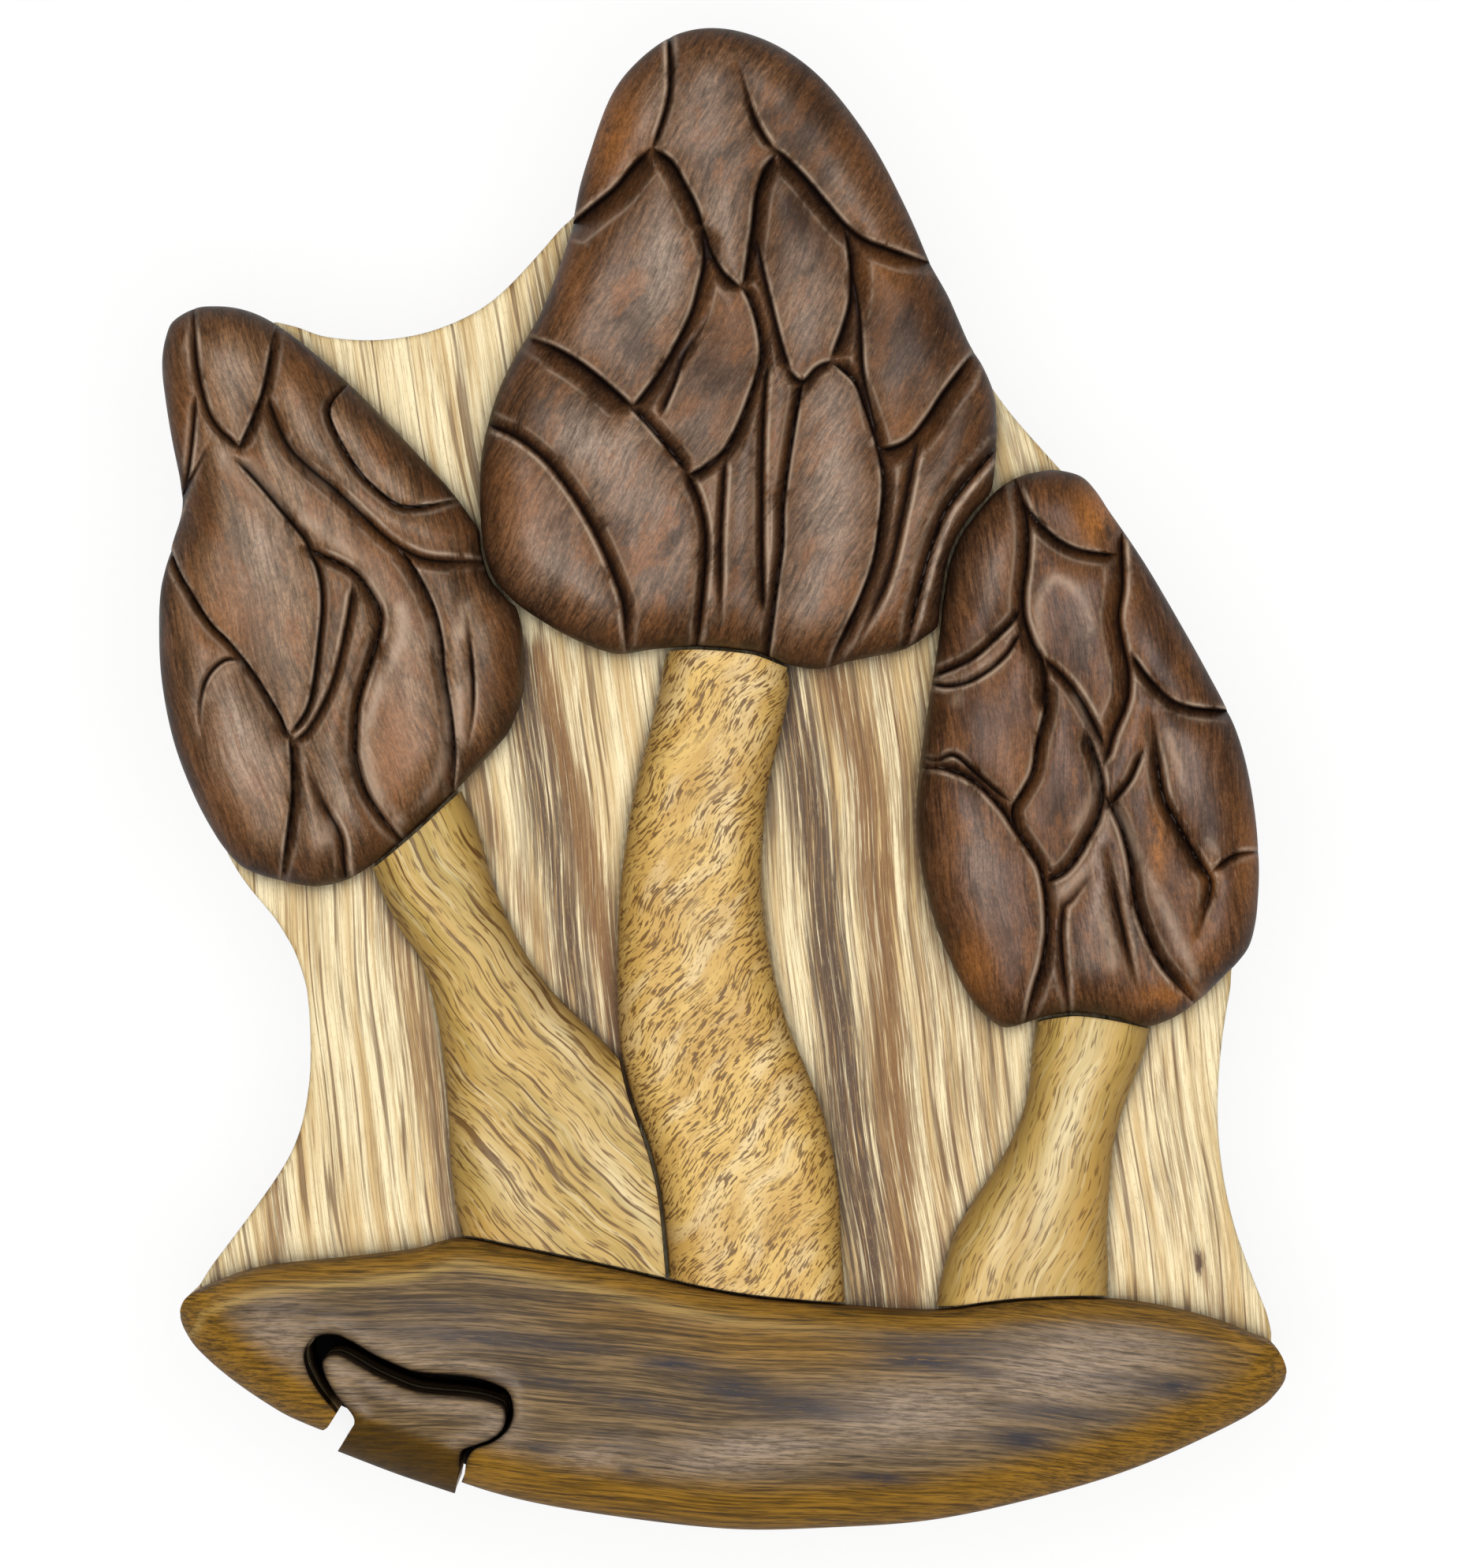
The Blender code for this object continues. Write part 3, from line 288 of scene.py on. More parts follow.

# The pale crests between the cuts of two caps, worn and with a painted highlight: how strong,
# half their width in millimetres, their line
CAP_CRESTS = {
    "cap_center": (),
    "cap_left": (
        (0.68, 0.6, ((510, 773), (514, 806), (492, 854), (472, 906), (468, 958), (483, 1010),
            (508, 1039))),
        (0.48, 0.52, ((546, 795), (564, 854), (570, 913), (562, 973), (540, 1010), (508, 1039))),
        (0.64, 0.52, ((592, 770), (585, 824), (583, 884), (587, 943))),
        (0.52, 0.68, ((316, 591), (360, 639), (412, 676), (457, 713), (487, 762))),
        (0.4, 0.6, ((359, 513), (375, 565), (412, 610), (464, 647))),
        (0.36, 0.6, ((279, 573), (323, 624), (368, 669), (394, 706))),
        (0.4, 0.6, ((442, 965), (438, 1017), (412, 1069))),
        (0.4, 0.45, ((271, 884), (286, 854), (312, 843))),
    ),
    "cap_right": (
        (0.55, 0.45, ((1316, 820), (1314, 768), (1334, 735), (1362, 752), (1379, 800))),
        (0.4, 0.6, ((1212, 890), (1221, 857), (1251, 842))),
        (0.48, 0.6, ((1399, 1034), (1385, 1094), (1396, 1153), (1407, 1220))),
        (0.48, 0.42, ((1477, 931), (1496, 990), (1518, 1049), (1540, 1079))),
        (0.52, 0.52, ((1414, 1027), (1436, 1071), (1459, 1123), (1488, 1183), (1510, 1234))),
        (0.4, 0.52, ((1362, 886), (1384, 946), (1388, 990), (1362, 1049))),
        (0.48, 0.75, ((1344, 1131), (1370, 1105))),
    ),
}

# Bands of the pale board: how brown, how grey, half their width in millimetres, their line
PANEL_BANDS = (
    (0.35, 1.0, 2.6, ((990, 850), (1018, 960), (1040, 1100), (1062, 1300), (1092, 1500),
        (1110, 1700))),
    (0.95, 0.2, 2.4, ((1050, 830), (1100, 1000), (1118, 1200), (1135, 1400), (1150, 1680))),
    (0.55, 0.1, 2.8, ((1110, 830), (1160, 1050), (1190, 1250), (1200, 1450), (1190, 1680))),
    (0.45, 0.85, 2.0, ((655, 830), (672, 930), (700, 1080), (730, 1240), (772, 1400))),
    (1.0, 0.15, 2.0, ((680, 830), (712, 950), (745, 1090), (775, 1250), (800, 1420))),
    (0.55, 0.1, 1.6, ((600, 990), (640, 1080), (690, 1200), (760, 1330))),
    (0.65, 0.3, 2.2, ((480, 1090), (512, 1220), (540, 1340), (565, 1460), (580, 1580))),
    (0.6, 0.4, 1.4, ((350, 1440), (352, 1520), (350, 1600))),
    (0.45, 0.15, 1.2, ((1452, 1290), (1480, 1420), (1500, 1560), (1560, 1680))),
    (0.4, 0.1, 1.3, ((716, 250), (690, 350), (670, 440), (650, 520))),
    (0.35, 0.1, 1.0, ((1262, 530), (1290, 580), (1330, 620))),
    (0.45, 0.3, 1.6, ((1160, 850), (1215, 1050), (1245, 1250), (1262, 1450), (1250, 1680))),
)

# The pale board's knot: how strong, half its length and width in millimetres, its middle
PANEL_KNOT = ((1.4, 1.3, 0.5, (1521, 1600)),)

# Pale and golden places of the stems: how strong, half their length and width in millimetres,
# their middle. The pale places are partly cream streaks of the wood and partly painted highlight
STEM_PLACES = {
    "stem_center": {
        "pale": (
            (0.7, 5.0, 1.5, (940, 890)), (0.5, 7.0, 1.4, (915, 1010)),
            (0.5, 6.0, 1.4, (955, 1490)), (0.4, 4.0, 1.2, (905, 1580)),
            (0.4, 6.0, 1.2, (880, 1180)),
        ),
        "golden": (
            (0.6, 9.0, 1.3, (835, 1200)), (0.6, 6.0, 1.5, (1010, 1560)),
        ),
    },
    "stem_left": {
        "pale": (
            (0.8, 10.0, 1.2, (700, 1290)), (0.7, 7.0, 1.2, (790, 1500)),
            (0.6, 6.0, 1.5, (650, 1500)),
        ),
        "golden": (
            (0.9, 4.0, 2.2, (625, 1570)), (0.5, 9.0, 1.0, (600, 1360)),
        ),
    },
    "stem_right": {
        "pale": (
            (1.0, 11.0, 1.4, (1345, 1450)), (0.5, 6.0, 1.0, (1270, 1570)),
        ),
        "golden": (
            (1.0, 10.0, 2.2, (1392, 1500)), (0.6, 5.0, 1.2, (1300, 1560)),
        ),
    },
}

# Blue-black smudges of the mound: how strong, half their length and width in millimetres,
# their middle
MOUND_SMUDGES = (
    (1.0, 5.0, 0.8, (1170, 1720)), (1.0, 3.4, 0.9, (1482, 1752)), (1.0, 3.2, 1.0, (1292, 1818)),
    (1.0, 3.2, 0.45, (1118, 1868)), (1.0, 3.6, 0.7, (855, 1724)), (0.9, 4.0, 1.2, (930, 1756)),
    (0.9, 6.5, 0.9, (1020, 1778)), (0.8, 4.0, 0.6, (805, 1772)), (0.7, 3.0, 0.5, (845, 1784)),
    (0.8, 6.5, 0.8, (1340, 1785)), (0.7, 8.0, 0.8, (1200, 1700)), (0.8, 9.0, 0.9, (600, 1690)),
    (0.7, 7.0, 0.7, (700, 1700)), (0.6, 6.0, 0.6, (560, 1650)), (0.5, 4.0, 0.5, (815, 1832)),
    (0.8, 0.9, 0.5, (797, 1858)), (0.7, 6.0, 0.6, (690, 1745)), (0.6, 3.0, 0.5, (1240, 1735)),
    (0.6, 3.0, 0.5, (1410, 1740)), (0.5, 4.0, 0.5, (420, 1655)), (0.8, 2.0, 0.5, (685, 1830)),
)

# Where the mound's painted sheen gathers, on a smoother finish: its strength, half its length
# and width in millimetres, its middle
MOUND_SHEENS = (
    (0.9, 12.0, 4.4, (1350, 1730)), (0.9, 10.0, 3.6, (1150, 1785)), (0.8, 4.0, 4.5, (350, 1700)),
    (0.5, 9.0, 2.5, (520, 1700)), (0.9, 11.0, 2.2, (940, 1835)), (0.8, 6.0, 2.0, (745, 1845)),
    (0.6, 2.5, 4.0, (640, 1810)),
)

# Where the mound's flat face is olive-amber, in the same way
MOUND_GOLD = (
    (0.75, 12.0, 2.4, (990, 1700)), (0.5, 7.0, 1.6, (800, 1665)), (0.6, 4.0, 4.0, (245, 1690)),
    (0.5, 5.0, 1.2, (1210, 1665)), (0.6, 4.0, 2.0, (1570, 1720)),
)

# The key's outer edge
KEY_EDGE = ((430, 1838), (503, 1866), (578, 1892))

# The line from which the saw slot's walls, and the paper under it, are painted dark as shade,
# away from the notch, and the slot's middle and reach
SLOT_SHADE = ((440, 1785), (592, 1857))
SLOT_MIDDLE = (515, 1765)
SLOT_REACH = 11 * MM


def size(name, description, default, unit="LENGTH"):
    """A size that a user may change."""
    return bpy.props.FloatProperty(
        name=name, description=description, default=default, unit=unit, precision=5
    )


def tint(name, description, default):
    """A colour that a user may change."""
    return bpy.props.FloatVectorProperty(
        name=name, description=description, default=default, subtype="COLOR", size=3,
        min=0, max=1,
    )


class PuzzleBoxSizes(bpy.types.PropertyGroup):
    """The sizes of the carving and of the edges."""

    fineness: size("Fineness", "Spacing of the points on the carved faces", 0.55 * MM)
    line_fineness: size("Line fineness", "Spacing of the points along rims and cuts", 0.35 * MM)
    cap_width: size("Cap rounding width", "How far in the caps' rounding starts", 5.0 * MM)
    cap_drop: size("Cap rounding drop", "How far the caps fall at the rim", 4.6 * MM)
    tuck_slope: size("Tuck slope", "How steeply a lower face dips at a cut", 0.34, "NONE")
    cut_spread: size("Cut spread", "How wide the cuts are worn, as a share", 1.25, "NONE")
    stem_width: size("Stem rounding width", "How far in the stems' rounding starts", 3.6 * MM)
    stem_drop: size("Stem rounding drop", "How far the stems fall at their sides", 3.3 * MM)
    front_width: size("Mound front width", "How far in the mound's front starts", 8.5 * MM)
    front_drop: size("Mound front drop", "How far the mound falls in front", 6.8 * MM)
    lip_width: size("Mound lip width", "How wide the mound's back lip is", 2.6 * MM)
    lip_drop: size("Mound lip drop", "How far the mound falls behind", 2.4 * MM)
    arris_width: size("Arris width", "How wide the worn edges are", 0.7 * MM)
    arris_drop: size("Arris drop", "How far the worn edges fall", 0.4 * MM)
    board_edge: size("Board edge", "Rounding of the boards' edges", 0.25 * MM)
    magnet_edge: size("Magnet edge", "Rounding of the magnets' edges", 0.25 * MM)
    seat_clearance: size("Seat clearance", "Gap between a magnet and its seat", 0.2 * MM)


class PuzzleBoxColors(bpy.types.PropertyGroup):
    """The colours of the woods, the felt and the metal."""

    center_cap: tint("Centre cap", "Flat faces of the centre cap", (0.205, 0.122, 0.074))
    left_cap: tint("Left cap", "Flat faces of the left cap", (0.285, 0.168, 0.090))
    right_cap: tint("Right cap", "Flat faces of the right cap", (0.146, 0.075, 0.047))
    # Amber is the walnut's own amber patches and also painted shade on its slopes and beside its
    # cuts
    amber: tint("Amber", "Walnut where it slopes or was sanded through", (0.25, 0.102, 0.036))
    # The rust colour is a painted glint: bright orange on the strongest orange places of the caps
    orange_tone_and_glint: tint("Rust", "Orange patches of the caps", (0.33, 0.125, 0.032))
    # The crease colour is painted shade: near black in the carved lines, by the pieces' joins and
    # in the saw slot
    crease: tint("Crease", "Bottom of the carved lines", (0.008, 0.003, 0.002))
    # The arris colour is the pale of worn edges and also painted highlight and painted sheen
    arris: tint("Arris", "Worn edges of the carved faces", (0.58, 0.43, 0.31))
    cream: tint("Cream", "Ground of the pale board", (0.86, 0.73, 0.45))
    straw: tint("Straw", "Darker ground of the pale board", (0.62, 0.44, 0.20))
    brown: tint("Brown streak", "Brown streaks of the pale board", (0.215, 0.100, 0.030))
    grey: tint("Grey streak", "Grey streaks of the pale board", (0.090, 0.048, 0.024))
    gold: tint("Gold", "Ground of the centre stem", (0.70, 0.46, 0.14))
    honey: tint("Honey", "Darker ground of the centre stem", (0.54, 0.32, 0.082))
    olive: tint("Olive gold", "Ground of the side stems", (0.42, 0.29, 0.075))
    flecks: tint("Flecks", "Pores and grain lines of the stems", (0.115, 0.050, 0.014))
    mound: tint("Mound", "Flat face of the mound", (0.180, 0.115, 0.052))
    mound_dark: tint("Mound streaks", "Dark streaks of the mound", (0.030, 0.022, 0.018))
    smudge: tint("Mound smudges", "Blue-black smudges of the mound", (0.036, 0.034, 0.042))
    # The mound edge colour is partly painted shade on the rounded edges and, darkened, on the key's
    # lower edge
    mound_edge: tint("Mound edge", "Rounded edges of the mound", (0.27, 0.135, 0.016))
    case: tint("Case", "Wood of the wall", (0.42, 0.25, 0.11))
    back: tint("Back", "Wood of the back board", (0.52, 0.34, 0.17))
    felt: tint("Felt", "Lining of the compartment", (0.020, 0.018, 0.018))
    nickel: tint("Nickel", "Plating of the magnets", (0.70, 0.69, 0.66))


class PuzzleBoxStage(bpy.types.PropertyGroup):
    """The camera, the light and the floor."""

    distance: size("Camera distance", "From the lens to the picture's face", 1.3)
    view_height: size("View height", "How much of the face the picture takes in", 0.1468)
    lamp_height: size("Lamp height", "From the floor to the overhead lamp", 2.0)
    lamp_width: size("Lamp width", "Side of the overhead lamp", 1.4)
    lamp_power: size("Lamp power", "Power of the overhead lamp", 54.0, "POWER")
    fill: bpy.props.FloatProperty(
        name="Fill", description="Strength of the light from all round", default=0.32
    )


def face(points):
    """Places on the box's face, in metres, of points given in the photograph's pixels."""
    x, y = np.array(points, float).T
    pixel = (HIGH.x - LOW.x) / PHOTO_SPAN
    return np.column_stack([LOW.x + (x - PHOTO_LEFT) * pixel, LOW.y + (PHOTO_BOTTOM - y) * pixel])


def smooth(knots, spacing, closed=False, corner=45):
    """Points about a spacing apart on the smooth curve through the knots.

    A closed curve keeps its sharp corners, where it turns by more than the corner's degrees.
    """
    if closed:
        gaps = np.linalg.norm(knots - np.roll(knots, 1, axis=0), axis=1)
        knots = knots[gaps > spacing]
        before, after = knots - np.roll(knots, 1, axis=0), np.roll(knots, -1, axis=0) - knots
        turns = np.arctan2(after[:, 1], after[:, 0]) - np.arctan2(before[:, 1], before[:, 0])
        turns = np.abs((turns + np.pi) % (2 * np.pi) - np.pi)
        corners = np.flatnonzero(turns > np.radians(corner))
        if len(corners):
            loop = np.roll(knots, -corners[0], axis=0)
            loop = np.vstack([loop, loop[:1]])
            stops = [*(corners - corners[0]), len(knots)]
            return np.vstack(
                [smooth(loop[a : b + 1], spacing)[:-1] for a, b in zip(stops, stops[1:])]
            )
        knots = np.vstack([knots[-1:], knots, knots[:2]])
    else:
        knots = np.vstack([2 * knots[:1] - knots[1:2], knots, 2 * knots[-1:] - knots[-2:-1]])
    spans = np.linalg.norm(np.diff(knots, axis=0), axis=1)
    points = []
    for index in range(1, len(knots) - 2):
        start, end, span = knots[index], knots[index + 1], spans[index]
        leaving = (end - knots[index - 1]) * span / (spans[index - 1] + span)
        arriving = (knots[index + 2] - start) * span / (span + spans[index + 1])
        steps = max(1, round(span / spacing))
        t = (np.arange(steps) / steps)[:, None]
        points.append(
            (2 * t**3 - 3 * t**2 + 1) * start
            + (t**3 - 2 * t**2 + t) * leaving
            + (3 * t**2 - 2 * t**3) * end
            + (t**3 - t**2) * arriving
        )
    if not closed:
        points.append(knots[-2:-1])
    return np.vstack(points)


def under_loops(node):
    """The loops round a CAD node's flat underside, the longest first."""
    mesh = frame["nodes"][node].data
    corners = np.array([vert.co for vert in mesh.vertices])
    low = corners[:, 2].min() + WELD
    keys = [tuple(key) for key in np.round(corners[:, :2] / WELD).astype(int)]
    sides = set()
    for polygon in mesh.polygons:
        if all(corners[index, 2] < low for index in polygon.vertices):
            ring = [keys[index] for index in polygon.vertices]
            sides.update(zip(ring, ring[1:] + ring[:1]))
    after = {start: end for start, end in sides if (end, start) not in sides}
    loops = []
    while after:
        start, key = after.popitem()
        loop = [start]
        while key != start:
            loop.append(key)
            key = after.pop(key)
        loops.append(np.array(loop)[::-1] * WELD)
    return sorted(loops, key=len, reverse=True)


def outline(node, corner=45):
    """The finely smoothed outline of a CAD node."""
    spacing = bpy.context.scene.puzzle_box_sizes.line_fineness
    return smooth(under_loops(node)[0], spacing, closed=True, corner=corner)


def near(points, starts, ends):
    """Each point's distance to the nearest of the stretches from the starts to the ends."""
    steps = ends - starts
    squares = (steps**2).sum(axis=1) + WELD**2
    found = []
    for some in np.array_split(points, len(points) // 2000 + 1):
        reach = some[:, None] - starts[None]
        shares = np.clip((reach * steps).sum(axis=2) / squares, 0, 1)
        found.append(np.linalg.norm(reach - shares[..., None] * steps, axis=2).min(axis=1))
    return np.concatenate(found)


def near_line(points, line):
    """Each point's distance to a finely spaced line."""
    tree = KDTree(len(line))
    for index, (x, y) in enumerate(line):
        tree.insert((x, y, 0), index)
    tree.balance()
    corner = np.array([tree.find((x, y, 0))[1] for x, y in points], int)
    found = np.full(len(points), np.inf)
    for first in (corner - 1, corner):
        first = np.clip(first, 0, len(line) - 2)
        start, step = line[first], line[first + 1] - line[first]
        reach = points - start
        share = np.clip((reach * step).sum(axis=1) / (step**2).sum(axis=1), 0, 1)
        found = np.minimum(found, np.linalg.norm(reach - share[:, None] * step, axis=1))
    return found


def near_loop(points, loop):
    """Each point's distance to a finely spaced loop."""
    return near_line(points, np.vstack([loop, loop[:1]]))


def inside(points, loop):
    """Whether each point lies inside the loop."""
    x, y = points[:, 0], points[:, 1]
    found = np.zeros(len(points), bool)
    for (x0, y0), (x1, y1) in zip(loop, np.roll(loop, -1, axis=0)):
        if y0 != y1:
            crosses = (y0 > y) != (y1 > y)
            found ^= crosses & (x < x0 + (y - y0) * (x1 - x0) / (y1 - y0))
    return found


def shifted(line, distance, closed=False):
    """The line moved to its left by the distance."""
    if closed:
        along = np.roll(line, -1, axis=0) - np.roll(line, 1, axis=0)
    else:
        along = np.gradient(line, axis=0)
    left = np.column_stack([-along[:, 1], along[:, 0]])
    return line + distance * left / np.linalg.norm(left, axis=1)[:, None]


def anticlockwise(loop):
    """The loop, turned round if it runs clockwise."""
    x, y = loop.T
    return loop if (x * np.roll(y, -1) - y * np.roll(x, -1)).sum() > 0 else loop[::-1]


def in_slot(places):
    """1 for each place by the saw slot, above its notch, and 0 elsewhere."""
    start, end, middle = face([*SLOT_SHADE, SLOT_MIDDLE])
    across = start[1] - end[1], end[0] - start[0]
    near_slot = np.linalg.norm(places - middle, axis=1) < SLOT_REACH
    return (near_slot & ((places - start) @ across > 0)).astype(float)


class Cut:
    """One carved line: rounded over on its high side, hollowed on the low, wider one."""

    def __init__(self, depth, left, right, tuck, points, rim, spread):
        spread = spread * bpy.context.scene.puzzle_box_sizes.cut_spread * MM
        self.depth, self.tuck = depth * MM, tuck * MM
        self.left, self.right = left * spread, right * spread
        knots = face(points)
        for end, inner in ((0, 1), (-1, -2)):
            if near_loop(knots[end : end + 1 or None], rim)[0] < MEETING:
                leaving = knots[end] - knots[inner]
                beyond = knots[end] + leaving / np.linalg.norm(leaving) * PAST_RIM
                pair = [beyond[None], knots] if end == 0 else [knots, beyond[None]]
                knots = np.vstack(pair)
        self.line = smooth(knots, bpy.context.scene.puzzle_box_sizes.line_fineness)
        self.tapers = [SHORT_TAPER, SHORT_TAPER]

    def join(self, others, rim):
        """Lets an end that meets neither another cut nor the rim run out slowly."""
        for number, end in enumerate((self.line[:1], self.line[-1:])):
            gaps = [near_line(end, other.line)[0] for other in others if other is not self]
            if min(gaps) > MEETING and near_loop(end, rim)[0] > MEETING:
                self.tapers[number] = LONG_TAPER

    def beside(self, points):
        """How each point lies beside the line.

        That is its distance to the line, the cut's width there, how full the cut is, and whether
        the point is on the lower, wider side.
        """
        starts, steps = self.line[:-1], np.diff(self.line, axis=0)
        lengths = np.linalg.norm(steps, axis=1)
        reach = points[:, None] - starts[None]
        shares = np.clip((reach * steps).sum(axis=2) / lengths**2, 0, 1)
        offsets = reach - shares[..., None] * steps
        distances = np.linalg.norm(offsets, axis=2)
        nearest = distances.argmin(axis=1)
        row = np.arange(len(points))
        step, offset = steps[nearest], offsets[row, nearest]
        left = step[:, 0] * offset[:, 1] - step[:, 1] * offset[:, 0] > 0
        run = np.append(0, np.cumsum(lengths))[nearest] + shares[row, nearest] * lengths[nearest]
        full = np.clip(run / self.tapers[0], 0, 1)
        full *= np.clip((lengths.sum() - run) / self.tapers[1], 0, 1)
        lower = left == (self.left > self.right)
        width = np.where(left, self.left, self.right) * (0.3 + 0.7 * full)
        return distances[row, nearest], width, full, lower

    def fall(self, distance, width, full, lower):
        """How far the cut lowers points beside it."""
        hollow = self.depth * full * np.clip(1 - distance / width, 0, 1) ** 1.4
        return np.where(lower, hollow, rounded(distance, width, self.depth * full))

    def ridge(self, width, lower):
        """How far off the line its ridge is, which is worn and carries a painted highlight."""
        return np.where(lower, 0.9, 0.6) * width


def rounded(nearness, width, drop):
    """How far a quarter-round of this width and drop lowers points this near to the rim."""
    return drop * (1 - np.sqrt(1 - (1 - np.clip(nearness / width, 0, 1)) ** 2))


def fill(rim, lines, dots):
    """Triangles inside the rim, with edges along the lines and corners at the dots.

    Corners and triangles are put in order of their places.
    """
    corners = [*rim]
    edges = [(index, (index + 1) % len(rim)) for index in range(len(rim))]
    for line in lines:
        first = len(corners)
        corners.extend(line)
        edges.extend((first + index, first + index + 1) for index in range(len(line) - 1))
    corners.extend(dots)
    found = delaunay_2d_cdt([Vector(corner) for corner in corners], edges, [], 0, WELD / 10)
    corners, faces = np.array(found[0]), np.array(found[2])
    order = np.lexsort(corners.T)
    corners, faces = corners[order], np.argsort(order)[faces]
    faces = faces[inside(corners[faces].mean(axis=1), rim)]
    turns = (faces.argmin(axis=1)[:, None] + np.arange(3)) % 3
    faces = np.take_along_axis(faces, turns, axis=1)
    return corners, faces[np.lexsort(faces.T)]


def carve(node, rim, height_of, rings, cuts=(), seats=()):
    """A block on the node's underside, with the rim's outline and a top of the given height.

    Its mesh has edges along the cuts, points beside them and on rings inside the rim, this
    far in in millimetres, and an even field of points elsewhere. Seats are round holes bored
    into the underside.
    """
    rings = [ring * MM for ring in rings]
    sizes = bpy.context.scene.puzzle_box_sizes
    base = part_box(node)[0].z
    rim = anticlockwise(rim)
    low, high = rim.min(axis=0), rim.max(axis=0)
    step = sizes.fineness
    field = []
    for row, y in enumerate(np.arange(low[1], high[1], step * ROW_HEIGHT)):
        x = np.arange(low[0], high[0], step) + step / 2 * (row % 2)
        field.append(np.column_stack([x, np.full(len(x), y)]))
    field = np.vstack(field)
    field = field[inside(field, rim)]
    field = field[near_loop(field, rim) > max(rings) + step / 2]
    dots = []
    for ring in rings:
        moved = shifted(rim, ring, closed=True)
        dots.append(moved[near_loop(moved, rim) > KEPT_SHARE * ring])
    for cut in cuts:
        for width, side in ((cut.left, 1), (cut.right, -1)):
            ridge = cut.ridge(width, width > min(cut.left, cut.right))
            for offset in (0.13 * MM, ridge / 2, ridge - 0.2 * MM, ridge, ridge + 0.22 * MM):
                moved = shifted(cut.line, side * offset)
                moved = moved[inside(moved, rim)]
                dots.append(moved[near_line(moved, cut.line) > KEPT_SHARE * offset])
        field = field[near_line(field, cut.line) > FIELD_MARGIN]
    dots = np.vstack([*dots, field])
    dots = dots[near_loop(dots, rim) > RIM_MARGIN]
    for cut in cuts:
        dots = dots[near_line(dots, cut.line) > CUT_MARGIN]
    cells = np.round(dots / CELL).astype(int)
    dots = dots[np.unique(cells, axis=0, return_index=True)[1]]
    corners, faces = fill(rim, [cut.line for cut in cuts], dots)
    heights = base + height_of(corners)

    shape = bmesh.new()
    verts = [shape.verts.new((x, y, z)) for (x, y), z in zip(corners, heights)]
    for triangle in faces:
        shape.faces.new([verts[corner] for corner in triangle])
    loose = [vert for vert in shape.verts if not vert.link_faces]
    bmesh.ops.delete(shape, geom=loose, context="VERTS")
    edges = [edge for edge in shape.edges if edge.is_boundary]
    walls = bmesh.ops.extrude_edge_only(shape, edges=edges)["geom"]
    for vert in (item for item in walls if isinstance(item, bmesh.types.BMVert)):
        vert.co.z = base
    under = [item for item in walls if isinstance(item, bmesh.types.BMEdge) and item.is_boundary]
    for x, y, radius, depth in seats:
        turns = np.arange(SEAT_SIDES) / SEAT_SIDES * 2 * np.pi
        ring = [
            shape.verts.new((x + radius * np.cos(turn), y + radius * np.sin(turn), base))
            for turn in turns
        ]
        edges = [shape.edges.new((ring[index - 1], ring[index])) for index in range(SEAT_SIDES)]
        under.extend(edges)
        bored = bmesh.ops.extrude_edge_only(shape, edges=edges)["geom"]
        roof = [item for item in bored if isinstance(item, bmesh.types.BMVert)]
        for vert in roof:
            vert.co.z = base + depth
        ceiling = [item for item in bored if isinstance(item, bmesh.types.BMEdge)]
        ceiling = [edge for edge in ceiling if all(vert in roof for vert in edge.verts)]
        bmesh.ops.edgeloop_fill(shape, edges=ceiling)
    bmesh.ops.triangle_fill(shape, edges=under, use_beauty=True)
    bmesh.ops.recalc_face_normals(shape, faces=shape.faces)
    mesh = bpy.data.meshes.new("carved_" + node)
    shape.to_mesh(mesh)
    shape.free()
    mesh.shade_smooth()
    mesh.set_sharp_from_angle(angle=np.radians(40))
    piece = bpy.data.objects.new("carved_" + node, mesh)
    bpy.context.scene.collection.objects.link(piece)
    return piece


def places_of(piece):
    """The piece's points as rows of x, y and z."""
    places = np.empty(len(piece.data.vertices) * 3)
    piece.data.vertices.foreach_get("co", places)
    return places.reshape(-1, 3)


def slopes_of(piece):
    """The sine of the piece's tilt at each point: 0 where it is level, 1 where it is upright."""
    normals = np.empty(len(piece.data.vertices) * 3)
    piece.data.vertex_normals.foreach_get("vector", normals)
    return np.sqrt(1 - np.clip(normals[2::3], 0, 1) ** 2)


def paint(piece, **marks):
    """Keeps marks on the piece for its finish: a number or a place for each of its points."""
    for name, values in marks.items():
        kind, field = ("FLOAT", "value") if values.ndim == 1 else ("FLOAT_VECTOR", "vector")
        layer = piece.data.attributes.new(name, kind, "POINT")
        layer.data.foreach_set(field, values.astype(np.float32).ravel())


def spots(flat, table, turn=0.0):
    """How strongly soft oval spots cover each place. The turn, in degrees, tilts the spots."""
    turn = np.radians(turn)
    cover = np.zeros(len(flat))
    for strength, wide, tall, middle in table:
        x, y = ((flat - face([middle])[0]) / MM).T
        along, across = x * np.cos(turn) + y * np.sin(turn), y * np.cos(turn) - x * np.sin(turn)
        spot = strength * np.exp(-((along / wide) ** 2) - (across / tall) ** 2)
        cover = np.maximum(cover, spot)
    return cover


def beside_line(flat, line, half):
    """1 on the line, which is in the photograph's pixels, and less beside it.

    Half is half the line's width in millimetres.
    """
    return np.exp(-((near_line(flat, smooth(face(line), MM)) / (half * MM)) ** 2))


def shade_beside(flat, nodes, reach):
    """1 on the outlines of the nodes, and less with the distance from them."""
    return np.max([np.exp(-near_loop(flat, outline(node)) / reach) for node in nodes], axis=0)


